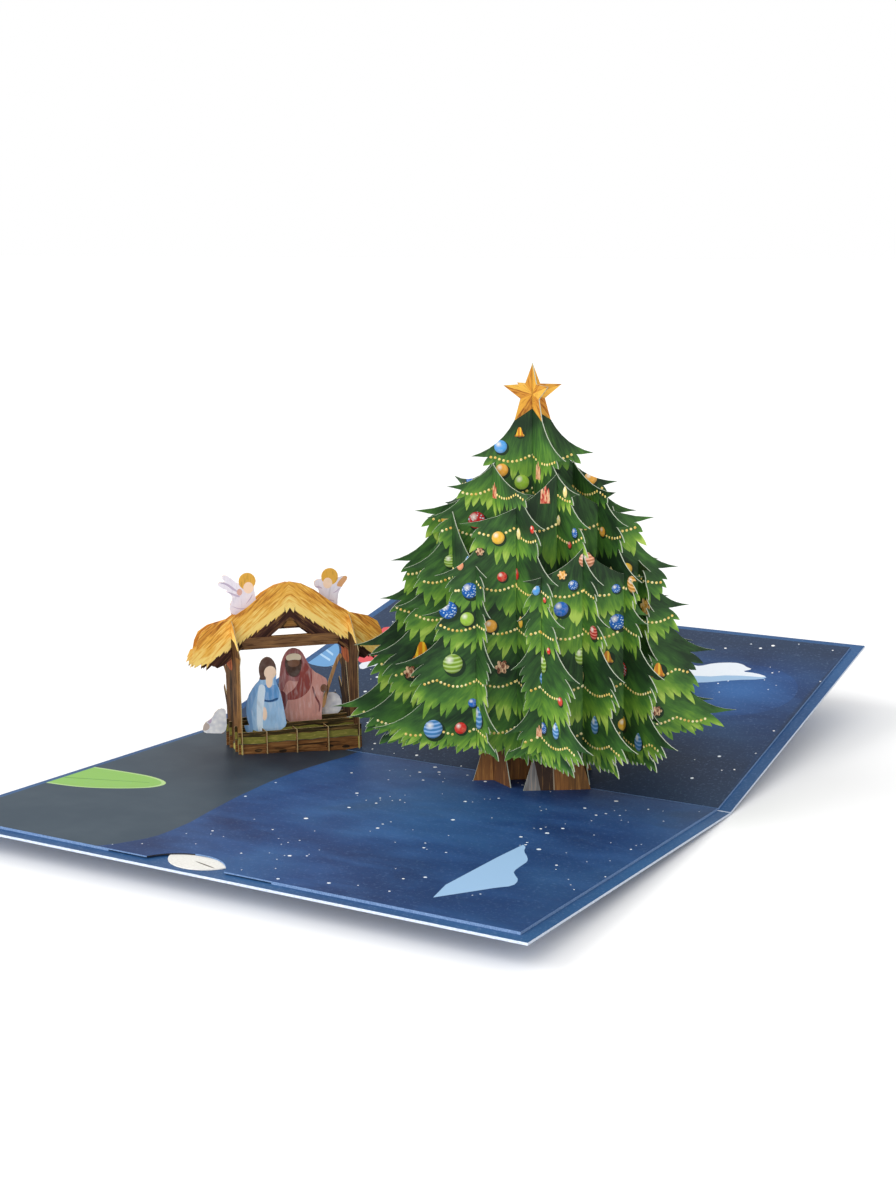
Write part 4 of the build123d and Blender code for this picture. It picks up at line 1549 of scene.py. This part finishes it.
RIGHT_SHEEP = ((0.755, 0.17), (0.765, 0.29), (0.8, 0.31), (0.975, 0.305), (0.985, 0.17))
LEFT_SHEEP = (
    (-0.02, 0.11), (-0.15, 0.118), (-0.23, 0.125), (-0.215, 0.18), (-0.145, 0.205),
    (-0.105, 0.252), (-0.045, 0.262), (-0.02, 0.24),
)
LEFT_ANGEL = (
    (0.04, 0.8), (0.02, 0.862), (0.055, 0.905), (0.03, 0.936), (0.0, 0.94), (0.006, 0.958),
    (-0.03, 0.964), (-0.075, 0.99), (-0.05, 1.006), (0.0, 1.0), (-0.034, 1.026), (-0.02, 1.045),
    (0.03, 1.03), (0.1, 0.985), (0.15, 1.0), (0.23, 0.985), (0.245, 0.905), (0.26, 0.84),
)
RIGHT_ANGEL = (
    (0.76, 0.82), (0.782, 0.882), (0.795, 0.925), (0.745, 0.95), (0.755, 0.985),
    (0.83, 0.99), (0.9, 0.98), (1.02, 1.002), (1.045, 0.985), (0.985, 0.935),
    (0.95, 0.89), (0.945, 0.78),
)
ANGEL_HEADS = ((0.18, 1.0), (0.885, 1.0))
ANGEL_HEAD_RADIUS = 3.2


def blue_robe_fields():
    """A mother in pale blue, her head bent to the right. The face is left plain."""
    return [
        disc(SKIN, 0.288, 0.494, 2.3, 1.12),
        inked(SKIN, (0.252, 0.49), (0.308, 0.49), (0.308, 0.424), (0.276, 0.4), (0.248, 0.424)),
        inked(HAIR, (0.176, 0.466), (0.17, 0.61), (0.37, 0.61), (0.372, 0.5), (0.33, 0.47),
              (0.23, 0.45)),
        drawn(PALE_BLUE, (0.196, 0.436), (0.25, 0.418), (0.232, 0.34), (0.214, 0.25), (0.212, 0.15),
              (0.166, 0.15), (0.162, 0.28), (0.176, 0.38)),
        inked(SEAM_BLUE, (0.205, 0.338), (0.275, 0.318), (0.35, 0.334), (0.35, 0.348), (0.275, 0.33),
              (0.206, 0.348)),
        drawn(SLEEVE_BLUE, (0.232, 0.43), (0.29, 0.418), (0.345, 0.424), (0.362, 0.37), (0.352, 0.326),
              (0.275, 0.32), (0.2, 0.33), (0.216, 0.39)),
        inked(SKIN, (0.206, 0.29), (0.24, 0.3), (0.256, 0.25), (0.24, 0.216), (0.212, 0.22)),
        drawn(VEIL_BLUE, (0.05, 0.15), (0.05, 0.38), (0.14, 0.45), (0.215, 0.47), (0.18, 0.4),
              (0.132, 0.32), (0.118, 0.24), (0.138, 0.15)),
        drawn(VEIL_BLUE, (0.322, 0.54), (0.36, 0.5), (0.36, 0.4), (0.318, 0.41), (0.316, 0.47)),
        drawn(ROBE_BLUE, *BLUE_ROBE),
    ]


def brown_robe_fields():
    """A bearded man in a mauve hooded robe with a red sash and a crook."""
    return [
        disc(BROWN_SKIN, 0.796, 0.352, 1.35, 1.25),
        drawn(CROOK, *CROOK_STAFF, name="bark"),
        inked(HEADBAND, (0.474, 0.562), (0.545, 0.574), (0.608, 0.56), (0.604, 0.526), (0.545, 0.536),
              (0.48, 0.528)),
        inked(BROWN_SKIN, (0.486, 0.54), (0.594, 0.54), (0.59, 0.492), (0.492, 0.492)),
        inked(BEARD, (0.466, 0.548), (0.61, 0.548), (0.61, 0.482), (0.576, 0.44), (0.535, 0.43),
              (0.496, 0.446), (0.466, 0.49)),
        drawn(SASH_RED, (0.6, 0.5), (0.64, 0.52), (0.7, 0.446), (0.69, 0.366), (0.63, 0.318),
              (0.55, 0.296), (0.462, 0.3), (0.472, 0.334), (0.545, 0.362), (0.588, 0.42)),
        drawn(HOOD_DARK, (0.42, 0.362), (0.458, 0.346), (0.488, 0.306), (0.47, 0.284), (0.456, 0.236),
              (0.436, 0.256), (0.434, 0.318)),
        drawn(HOOD_DARK, (0.69, 0.366), (0.716, 0.3), (0.752, 0.256), (0.744, 0.214), (0.756, 0.214),
              (0.768, 0.262), (0.728, 0.306), (0.704, 0.372)),
        drawn(HOOD_DARK, (0.462, 0.54), (0.5, 0.574), (0.59, 0.574), (0.622, 0.53), (0.612, 0.47),
              (0.576, 0.424), (0.48, 0.44), (0.462, 0.48)),
        drawn(HOOD_MAUVE, (0.39, 0.34), (0.4, 0.62), (0.69, 0.62), (0.7, 0.44), (0.69, 0.366),
              (0.62, 0.42), (0.56, 0.4), (0.48, 0.42), (0.444, 0.35)),
        drawn(ROBE_MAUVE, *BROWN_ROBE),
    ]


def sheep_fields():
    return [
        disc(MUZZLE, 0.778, 0.3, 1.5, 1.2),
        disc(MUZZLE, -0.205, 0.16, 1.7, 0.9),
        disc(WING_SHADE, -0.165, 0.196, 0.8, 1.6),
        drawn(WOOL, *RIGHT_SHEEP, name="fleece"),
        drawn(WOOL, *LEFT_SHEEP, name="fleece"),
    ]


def angel_fields():
    """Two small angels in lilac-white dresses, with plain faces and golden hair."""
    left_head, right_head = ANGEL_HEADS
    return [
        disc(SKIN, 0.188, 0.962, 1.9, 1.15),
        disc(ANGEL_HAIR, *left_head, ANGEL_HEAD_RADIUS + 0.1, name="hay"),
        disc(ROSY, 0.112, 0.94, 1.0, 1.3),
        inked(WING_SHADE, (-0.06, 0.998), (0.0, 1.0), (0.07, 0.964), (0.112, 0.936), (0.06, 0.95),
              (0.0, 0.988)),
        inked(WING_SHADE, (0.0, 0.95), (0.056, 0.922), (0.11, 0.908), (0.116, 0.918), (0.06, 0.934)),
        inked(WING_SHADE, (0.02, 0.868), (0.12, 0.842), (0.2, 0.852), (0.12, 0.834)),
        inked(WING_SHADE, (0.152, 0.86), (0.196, 0.9), (0.226, 0.93), (0.212, 0.9)),
        drawn(WING_LILAC, (-0.11, 0.93), (-0.11, 1.06), (0.04, 1.06), (0.14, 0.985), (0.11, 0.92),
              (0.05, 0.905)),
        drawn(DRESS_LILAC, *LEFT_ANGEL),
        disc(SKIN, 0.866, 0.962, 1.8, 1.15),
        disc(ANGEL_HAIR, *right_head, ANGEL_HEAD_RADIUS + 0.1, name="hay"),
        inked(HORN, (0.925, 0.95), (1.08, 1.04), (1.09, 0.96), (0.985, 0.93)),
        inked(WING_SHADE, (0.75, 0.944), (0.79, 0.936), (0.83, 0.93), (0.79, 0.95)),
        inked(WING_SHADE, (0.9, 0.9), (0.944, 0.906), (0.99, 0.942), (0.94, 0.914)),
        inked(WING_SHADE, (0.8, 0.85), (0.87, 0.872), (0.94, 0.85), (0.87, 0.862)),
        drawn(DRESS_LILAC, *RIGHT_ANGEL),
    ]


def straw_uv(points):
    """Straw that runs down and outwards from the ridge, as across and along its strokes."""
    reach, height = np.abs(points[:, 0] - STABLE_WIDTH / 2), points[:, 1]
    fall = math.radians(STRAW_FALL)
    across = reach * math.sin(fall) + height * math.cos(fall)
    length = reach * math.cos(fall) - height * math.sin(fall)
    return np.stack([across, length], axis=1)


def straw_half(line, leans, seed):
    """Straw ends along a line that runs inwards from the eave, by half of the roof."""
    points = []
    for number, (start, end) in enumerate(zip(line, line[1:])):
        points += fringe(start, end, STRAW_LENGTH, leans, seed + number, STRAW_WIDTH, STRAW_SHAPE)
    return points + [line[-1]]


def roof_border(half):
    """Both halves of a border round the roof's middle, from the right eave to the left."""
    middle = STABLE_WIDTH / 2
    right = [(middle + x, y) for x, y in half]
    return right + [(2 * middle - x, y) for x, y in reversed(right)]


def build_roof(name, share, ridge_share, figures, heads, fields):
    height = STABLE_HEIGHT * ridge_share
    middle = STABLE_WIDTH / 2
    seed = int(1000 * ridge_share)

    def half(shares):
        return spread(shares, middle, height)

    line = half(STRAW_EDGE)
    levels = [[x for x, y in reversed(line)], [y for x, y in reversed(line)]]

    def straw_shade(points):
        """1 at the straw's lower ends and 0 along the ridge roll."""
        low = np.interp(np.abs(points[:, 0] - middle), *levels)
        return np.clip(1.0 - (points[:, 1] - low) / (height * ROLL_SHARE), 0.0, 1.0)

    ends = straw_half(line, PRINTED_LEANS, seed)
    thatch = roof_border([(FAR, ends[0][1] - 8.0)] + ends) + [(-FAR, FAR), (FAR, FAR)]
    wedge = spread([(0.44, 0.742), (0.5, 0.792), (0.56, 0.742)], STABLE_WIDTH, height)
    beam = spread([(0.1, 0.622), (0.9, 0.622), (0.93, 0.688), (0.07, 0.688)], STABLE_WIDTH, height)
    printed = fields + [
        field(thatch, "thatch", uv=straw_uv, shade=straw_shade),
        field(wedge, "bark", paint=POST_OCHRE, uv=level_uv),
        field(beam, "bark", paint=BEAM, uv=level_uv),
        field(None, "bark", paint=TRUSS, uv=straw_uv),
    ]
    top = half(THATCH_TOP)
    outline = top + straw_half([top[-1]] + half(THATCH_EAVE), EAVE_LEANS, seed + 20) + half(TRUSS_FOOT)
    rings = [roof_border(outline[::-1])]
    rings += [softened(spread(shares), 1) for shares in figures]
    rings += [oval(across, up, ANGEL_HEAD_RADIUS) for across, up in heads]
    holes = [roof_border(half(GABLE_GAP))]
    holes += [slot_ring(x, STABLE_SLOT, 0.0, ROOF_LAP + SLOT_CLEARANCE) for x in (0.0, STABLE_WIDTH)]
    plane = face_plane(ROOF_SHARES[share])
    made = sheet_mesh(name + "_print", plane, STABLE_WALL, rings, printed, holes, edge="straw_edge")
    print_piece(made, "thatch_print", name)


def wall_fields(side):
    """Bark with a front strip painted lighter as lit, a knot, an olive foot and a thatched cap."""
    def part(shares):
        return spread(shares, STABLE_DEPTH, STABLE_HEIGHT)

    def straw_shade(points):
        return np.clip((0.8 * STABLE_HEIGHT - points[:, 1]) / (0.12 * STABLE_HEIGHT), 0.15, 0.9)

    cap = part([(1.4, 0.6), (0.96, 0.61), (0.75, 0.66), (0.5, 0.69), (0.3, 0.68), (0.12, 0.645),
                (-0.4, 0.64), (-0.4, 1.0), (1.4, 1.0)])
    fields = [
        field(cap, "thatch", uv=straw_uv, shade=straw_shade),
        field(part([(-0.1, 0.0), (0.62, 0.0), (0.62, 0.07), (0.3, 0.112), (-0.1, 0.1)]), "paint",
              paint=FLAP_OLIVE),
        field(part([(0.62, 0.07), (0.66, 0.08), (0.31, 0.122), (-0.1, 0.11), (-0.1, 0.1),
                    (0.3, 0.112)]), "paint", paint=DARK_OLIVE),
        field(softened(part([(0.5, 0.505), (0.72, 0.5), (0.99, 0.53), (0.99, 0.59), (0.55, 0.59)])),
              "bark", paint=KNOT_RED),
    ]
    if side == "left":
        fields += [
            field(softened(part([(0.58, 0.16), (0.56, 0.5), (0.72, 0.52), (0.74, 0.18)])), "bark",
                  paint=POST_DARK),
            # painted light: the wall's front strip, lighter as if lit
            field(part([(-0.1, 0.1), (0.3, 0.11), (0.26, 0.6), (-0.1, 0.6)]), "bark",
                  paint=POST_OCHRE),
        ]
    else:
        fields += [
            field(part([(0.73, 0.534), (0.75, 0.534), (0.52, 0.248), (0.5, 0.248)]), "paint",
                  paint=PALE_SEAM),
            field(part([(0.45, 0.08), (0.5, 0.25), (0.72, 0.54), (1.3, 0.6), (1.3, 0.0)]), "bark",
                  paint=POST_DARK),
        ]
    return fields + [field(None, "bark", paint=POST)]


def build_side(name, place, top, holes, fields):
    """A wall or a rib, from its upper outline. It stands on the card from front to back."""
    plane = upright(STABLE_CORNER + FRONT_RUN * (place * MM), SIDE_ANGLE)
    ring = top + floor_line(plane, STABLE_DEPTH, 0.0)
    made = sheet_mesh(name + "_print", plane, STABLE_WALL, [ring], fields, holes, edge="tan_edge")
    print_piece(made, "timber_print", name)


def build_wall(name, place, side):
    holes = [slot_ring(x, STABLE_SLOT, -OVERRUN, CRATE_LAP + SLOT_CLEARANCE) for x in RAIL_PLACES]
    holes += [slot_ring(x, STABLE_SLOT, ROOF_LAP, STABLE_HEIGHT + OVERRUN) for x in ROOF_PLACES]
    build_side(name, place, spread(SIDE_WALL, STABLE_DEPTH, STABLE_HEIGHT), holes, wall_fields(side))


def build_rib(name, place):
    top = [(0.0, FENCE_HEIGHT), (STABLE_DEPTH, FENCE_HEIGHT)]
    holes = [slot_ring(x, STABLE_SLOT, CRATE_LAP, FENCE_HEIGHT + OVERRUN) for x in RAIL_PLACES]
    build_side(name, place, top, holes, [field(None, "bark", paint=LOG, uv=level_uv)])


def build_stable():
    for name, share, height, figures, fields, slot in (
        ("stable_fence_front", "fence", FENCE_HEIGHT, [], [], "timber_print"),
        ("blue_robe_slice", "blue", RAIL_HEIGHT, [BLUE_ROBE], blue_robe_fields(), "figure_print"),
        ("brown_robe_slice", "brown", RAIL_HEIGHT, [BROWN_ROBE, CROOK_STAFF], brown_robe_fields(),
         "figure_print"),
        ("sheep_slice", "back", RAIL_HEIGHT, [RIGHT_SHEEP, LEFT_SHEEP], sheep_fields(), "figure_print"),
    ):
        build_rail(name, share, height, figures, fields, slot)
    angels = [LEFT_ANGEL, RIGHT_ANGEL]
    build_roof("roof_front", "front", 1.0, [], [], [])
    build_roof("roof_back", "back", BACK_RIDGE_SHARE, angels, ANGEL_HEADS, angel_fields())
    build_wall("stable_wall_left", 0.0, "left")
    build_wall("stable_wall_right", STABLE_WIDTH, "right")
    for number, place in enumerate(WALL_PLACES[1:-1], 1):
        build_rib(f"stable_rib_{number}", place)


# Night sky on the two liners
SLATE = ink(48, 66, 80)
DEEP_SLATE = ink(36, 48, 66)
NAVY = ink(26, 46, 84)
LEAF_GREEN = ink(146, 196, 90)
LEAF_RIM = ink(186, 218, 142)
LEAF_VEIN = ink(104, 156, 62)
COMET_BLUE = ink(160, 196, 230)
CLOUD_WHITE = ink(232, 238, 244)
CLOUD_BLUE = ink(160, 192, 222)
GLOW_BLUE = ink(58, 112, 176)
MOUND_BLUE = ink(108, 160, 208)
MOUND_PALE = ink(176, 208, 234)
CORAL = ink(226, 84, 84)
SKY_HALF_LENGTH = CARD_LENGTH / 2 - LINER_MARGIN
SKY_DEPTH = PANEL_DEPTH - LINER_MARGIN
SKY_WALL = 0.03
SKY_GRID = 5.0
SKY_INSET = 0.05  # the print ends this far inside its liner
BARE_SKY = {"front": 1, "back": 2}  # how many of a panel's last fields the stars lie on
STAR_DENSITY = 16000
STAR_SEED = 5
STAR_REACH = 0.5
STAR_HALF_DEPTH = 0.012
STAR_LIFT = 0.004

HILL = (
    (-38.0, -5.0), (-38.2, 10.1), (-39.4, 17.8), (-41.2, 36.8), (-41.2, 51.6), (-40.5, 60.5),
    (-38.8, 77.9), (-36.0, 96.0), (-33.6, 109.5), (-33.0, 119.8), (-33.1, 126.6), (-34.4, 131.8),
    (-38.3, 140.4), (-43.3, 147.2), (-50.0, 155.0), (-130.0, 155.0), (-130.0, -5.0),
)
COMET = (
    (68.2, 137.2), (68.5, 72.8), (70.8, 74.6), (72.3, 79.1), (76.3, 84.2), (78.3, 88.2), (78.5, 92.3),
    (79.1, 99.1), (81.1, 101.9), (84.4, 105.8), (85.5, 111.5), (81.9, 115.6), (79.1, 120.2),
)
LEAF = (
    (-116.0, 98.0), (-116.0, 72.0), (-90.9, 70.4), (-78.8, 70.5), (-69.2, 74.6), (-69.8, 81.9),
    (-77.7, 88.5), (-87.3, 93.8), (-96.7, 96.6),
)
LEAF_LINE = ((-104.9, 88.6), (-75.5, 77.9), (-75.5, 77.5), (-104.9, 87.8))
CLOUD = (
    (50.5, 98.4), (49.6, 104.6), (51.4, 111.3), (54.7, 110.9), (58.8, 115.5), (66.7, 118.4),
    (70.7, 117.3), (72.8, 115.3), (75.9, 114.0), (72.3, 110.6), (78.4, 110.8), (84.0, 108.6),
    (82.9, 105.7), (72.8, 102.3), (60.5, 95.5), (56.0, 95.7), (52.4, 95.7),
)
CLOUD_TOP = (
    (47.0, 102.0), (60.0, 101.5), (70.0, 106.5), (86.0, 108.0), (86.0, 122.0), (47.0, 122.0),
)
MOUND = (
    (-107.8, 68.0), (-109.0, 79.4), (-108.3, 88.3), (-105.4, 91.5), (-100.5, 86.0), (-93.1, 72.8),
    (-94.0, 66.0),
)
CORAL_TOP = ((-95.2, 111.2), (-92.2, 113.7), (-88.0, 114.3), (-83.0, 110.4), (-79.3, 98.1), (-86.0, 98.6))
CORAL_LOW = ((-87.4, 79.0), (-86.5, 85.4), (-80.0, 86.0), (-79.0, 78.0), (-83.1, 74.2))
WHITE_BAND = ((-83.6, 74.0), (-79.3, 78.4), (-73.5, 79.0), (-72.4, 74.5), (-76.8, 73.4), (-79.0, 68.0))
PALE_STREAK = ((-28.5, 18.6), (-25.0, 21.4), (-21.0, 20.9), (-24.0, 18.4))


def panel_plane(side):
    """The upper face of a liner: run is its local X, up leads away from the fold."""
    rise = math.radians(FRONT_RISE if side == "front" else BACK_RISE)
    toward = -1 if side == "front" else 1
    wall = COVER_WALL + (FRONT_LINER_WALL if side == "front" else BACK_LINER_WALL)
    face = Vector((0, -toward * math.sin(rise), math.cos(rise)))
    up = Vector((0, toward * math.cos(rise), math.sin(rise)))
    return Plane(face * ((wall + PRINT_LIFT) * MM), up.cross(face), up)


def turned_over(points):
    """Places on the front panel, whose local X runs against the fold's."""
    return [(-x, distance) for x, distance in points]


def full_shade(points):
    return np.ones(len(points))


def tinted(border, paint, rounds=2, within=None):
    return field(softened(list(border), rounds), "night", paint=paint, shade=full_shade, within=within)


def sky_front_fields():
    def stable_shade(points):
        """The hill darkens towards the stable: a painted shadow of the stable."""
        return np.clip(np.hypot(points[:, 0] - 62.0, points[:, 1] - 22.0) / 62.0, 0.0, 1.0)

    def far_shade(points):
        """The sky darkens towards the free corner, and under the tree as a painted shadow of the tree."""
        x, away = -points[:, 0], points[:, 1]
        corner = np.clip((x - 30.0) / 90.0, 0.0, 1.0) * 0.55
        # painted shadow of the tree
        tree = np.exp(-((x - 42.0) ** 2 + (away - 8.0) ** 2) / 900.0) * 0.2
        return np.clip(corner + tree, 0.0, 0.8)

    return [
        tinted(turned_over(COMET), COMET_BLUE, 1),
        tinted(turned_over(LEAF_LINE), LEAF_VEIN, 0),
        tinted(turned_over([along(p, (-88.0, 83.0), 0.08) for p in LEAF]), LEAF_GREEN),
        tinted(turned_over(LEAF), LEAF_RIM),
        field(turned_over(HILL), "hill", paint=SLATE, shade=stable_shade),
        field(None, "night", paint=NAVY, shade=far_shade),
    ]


def sky_back_fields():
    def glow(points):
        """Slate beside the fold, blue in the middle, with a glow round the cloud."""
        x, away = points[:, 0], points[:, 1]
        fold = np.clip(1.0 - away / 62.0, 0.0, 1.0) * 0.75
        edge = np.clip((away - 112.0) / 40.0, 0.0, 1.0) * 0.6
        edge += np.clip((-x - 10.0) / 45.0, 0.0, 1.0) * 0.7
        lit = np.exp(-((x - 76.0) ** 2 + (away - 94.0) ** 2) / 500.0)
        return np.clip(0.55 + fold + edge - lit, 0.0, 0.9)

    def halo(points):
        reach = np.hypot((points[:, 0] - 76.0) / 1.3, points[:, 1] - 94.0)
        return np.clip(0.85 - reach / 24.0, 0.0, 0.7)

    def band(start, end):
        return [start, end, (end[0] - 1.0, end[1] + 2.0), (start[0] - 1.0, start[1] + 2.0)]

    return [
        tinted(CLOUD_TOP, CLOUD_WHITE, 1, within=softened(list(CLOUD), 1)),
        tinted(CLOUD, CLOUD_BLUE, 1),
        tinted(WHITE_BAND, CLOUD_WHITE, 1),
        tinted(CORAL_TOP, CORAL),
        tinted(CORAL_LOW, CORAL),
        tinted(band((-108.0, 84.0), (-99.0, 78.0)), MOUND_PALE, 0),
        tinted(band((-108.0, 79.0), (-97.0, 72.5)), MOUND_PALE, 0),
        tinted(MOUND, MOUND_BLUE),
        tinted(PALE_STREAK, CLOUD_BLUE, 1),
        field(round_border(76.0, 94.0, 24.0, 1.0, 30), "night", paint=GLOW_BLUE, shade=halo),
        field(None, "night", paint=DEEP_SLATE, shade=glow),
    ]


def sky_outline(side):
    low, high = FOLD_GAP + SKY_INSET, SKY_DEPTH - SKY_INSET
    half = SKY_HALF_LENGTH - SKY_INSET
    if side == "back":
        return [(-half, low), (half, low), (half, high), (-half, high)]
    middle = SKY_DEPTH - NOTCH_DEPTH + NOTCH_RADIUS
    radius = NOTCH_RADIUS + SKY_INSET
    spread_angle = math.asin((high - middle) / radius)
    arc = []
    for step in range(25):
        turn = -math.pi - spread_angle + (math.pi + 2 * spread_angle) * step / 24
        arc.append((-NOTCH_CENTRE + radius * math.cos(turn), middle + radius * math.sin(turn)))
    return [(-half, low), (half, low), (half, high)] + arc[::-1] + [(-half, high)]


def star_nodes():
    """Small flat flakes scattered on a guide mesh, thicker in some places than in others."""
    sizes = {"Density": STAR_DENSITY, "Radius": STAR_REACH * MM, "Half Depth": STAR_HALF_DEPTH * MM}
    s = Scatter("sky_stars", {**sizes, "Seed": STAR_SEED})
    place = s.node("GeometryNodeInputPosition").outputs["Position"]
    cloud = s.noise(place, 34.0, detail=2.0, roughness=0.5)
    density = s.math("MULTIPLY", s.source["Density"], s.limits(cloud, 0.42, 0.66))
    inputs = {"Mesh": s.source["Geometry"], "Density": density, "Seed": s.source["Seed"]}
    points = s.node("GeometryNodeDistributePointsOnFaces", inputs, distribute_method="RANDOM").outputs
    inputs = {"Vertices": 7, "Radius": 1.0, "Depth": 2.0}
    flake = s.node("GeometryNodeMeshCylinder", inputs, fill_type="NGON").outputs["Mesh"]
    inputs = {"Min": 0.0, "Max": 1.0, "Seed": s.source["Seed"]}
    small = s.node("FunctionNodeRandomValue", inputs, data_type="FLOAT").outputs[1]
    size = s.math("MULTIPLY_ADD", s.math("POWER", small, 4.0), 1.3, 0.45)
    width = s.math("MULTIPLY", size, s.source["Radius"])
    return s.finish(points["Points"], flake, points["Rotation"], width)


def sky_guide(side, plane, outline, fields):
    """The bare sky of a panel, as a mesh for the stars to lie on."""
    corners, triangles, owner = cut_sheet([outline], [], fields, SKY_GRID)
    bare = triangles[owner >= len(fields) - BARE_SKY[side]]
    used, places = np.unique(bare, return_inverse=True)
    guide = bpy.data.meshes.new(f"sky_stars_{side}_guide")
    points = [plane.point(x, y, SKY_WALL + STAR_LIFT) for x, y in corners[used]]
    turned = []
    for a, b, c in places.reshape(-1, 3).tolist():
        rise = (points[b] - points[a]).cross(points[c] - points[a]).dot(plane.face)
        turned.append((a, b, c) if rise > 0 else (a, c, b))
    guide.from_pydata(points, [], turned)
    return guide


def build_sky(side):
    plane = panel_plane(side)
    outline = sky_outline(side)
    fields = sky_front_fields() if side == "front" else sky_back_fields()
    name = f"night_print_{side}"
    made = sheet_mesh(
        name, plane, SKY_WALL, [outline], fields, grid=SKY_GRID, one_sided=True, edge="night"
    )
    print_piece(made, "night_print")
    guide = sky_guide(side, plane, outline, fields)
    print_piece(grown(f"sky_stars_{side}", guide, star_nodes(), INKS["stars"]), "night_print")


# Pieces that keep their CAD shape
def dress(name, *materials, choose=None):
    """Give a CAD piece its materials. choose picks one for each face."""
    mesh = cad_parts[name].data
    mesh.materials.clear()
    for material in materials:
        mesh.materials.append(material)
    for face in mesh.polygons:
        face.material_index = choose(face) if choose else 0


POCKET_SHADOW_SPAN = (-24.0, -11.0)  # across the card, where the notch's edge is painted dark as the pocket's shadow


def dress_card():
    liner_edge = tinted_edge("liner_edge", ink(84, 116, 160), ink(128, 156, 194))
    # A near-black edge: painted shadow inside the pocket's mouth
    pocket_shadow = tinted_edge("pocket_opening", ink(24, 24, 30), ink(44, 42, 48))

    def in_pocket_shadow(face):
        """The notch's left side, whose edge is painted dark as the shadow in the pocket's open mouth
        beside the tab.
        """
        return POCKET_SHADOW_SPAN[0] < face.center.x / MM < POCKET_SHADOW_SPAN[1] and abs(face.normal.z) < 0.5

    dress("cover", cover_print(), cover_edge(), choose=lambda face: int(abs(face.normal.z) <= 0.8))
    dress("liner_front", liner_edge, pocket_shadow, choose=lambda face: int(in_pocket_shadow(face)))
    dress("liner_back", liner_edge)
    dress("note_card", note_paper())


# Floor and light
FLOOR_REACH = 6.0
FLOOR_DROP = 0.0002  # under the card, so that the two faces don't fight
STRIP_HEIGHT = 0.02


def stage():
    s = Shade("pale_floor")
    s.feed(s.bsdf.inputs["Base Color"], ink(253, 253, 253))
    s.feed(s.bsdf.inputs["Roughness"], 1.0)
    s.feed(s.bsdf.inputs["Specular IOR Level"], 0.0)
    mesh = bpy.data.meshes.new("floor")
    corners = [(x * FLOOR_REACH, y * FLOOR_REACH, 0) for x, y in ((-1, -1), (1, -1), (1, 1), (-1, 1))]
    mesh.from_pydata(corners, [], [(0, 1, 2, 3)])
    mesh.materials.append(s.material)
    floor = in_scene("floor", mesh)
    floor.location.z = -FLOOR_DROP


def lamp(name, kind, power, direction):
    """A light that shines in a direction."""
    made = in_scene(name, bpy.data.lights.new(name, kind))
    made.data.energy = power
    made.rotation_mode = "QUATERNION"
    made.rotation_quaternion = Vector(direction).to_track_quat("-Z", "Y")
    return made


def sun(name, direction, power, softness):
    """A broad soft light that falls the same everywhere. softness is its width in degrees."""
    lamp(name, "SUN", power, direction).data.angle = math.radians(softness)


def strip(name, place, aim, length, power, spread):
    """A long low softbox with a grid in front of it, aimed at the floor under the card's rim."""
    made = lamp(name, "AREA", power, Vector(aim) - Vector(place))
    made.location = place
    made.data.shape = "RECTANGLE"
    made.data.size, made.data.size_y = length, STRIP_HEIGHT
    made.data.spread = math.radians(spread)


def light():
    """A white room that gives the camera a whiter ground than it gives the card light."""
    world = bpy.data.worlds.new("studio")
    world.use_nodes = True
    graph = Graph(world.node_tree)
    room = world.node_tree.nodes["Background"]
    graph.feed(room.inputs["Color"], (1, 1, 1, 1))
    graph.feed(room.inputs["Strength"], 0.8)
    ground = graph.node("ShaderNodeBackground", {"Color": (1, 1, 1, 1), "Strength": 1.0})
    seen = graph.node("ShaderNodeLightPath").outputs["Is Camera Ray"]
    inputs = {"Fac": seen, 1: room.outputs["Background"], 2: ground.outputs["Background"]}
    mixed = graph.node("ShaderNodeMixShader", inputs).outputs["Shader"]
    graph.feed(world.node_tree.nodes["World Output"].inputs["Surface"], mixed)
    bpy.context.scene.world = world
    sun("key", (0.78, 0.54, -0.68), 1.15, 32.0)
    sun("fill", (-0.2, 0.86, -0.4), 1.35, 70.0)
    strip("rim", (-0.04, -0.3, 0.03), (-0.04, -0.145, 0.0), 0.5, 0.014, 12.0)


# Everything
build_tree()
build_stable()
build_sky("front")
build_sky("back")
dress_card()
photo_camera()
light()
stage()
bpy.context.scene.view_settings.view_transform = "Standard"
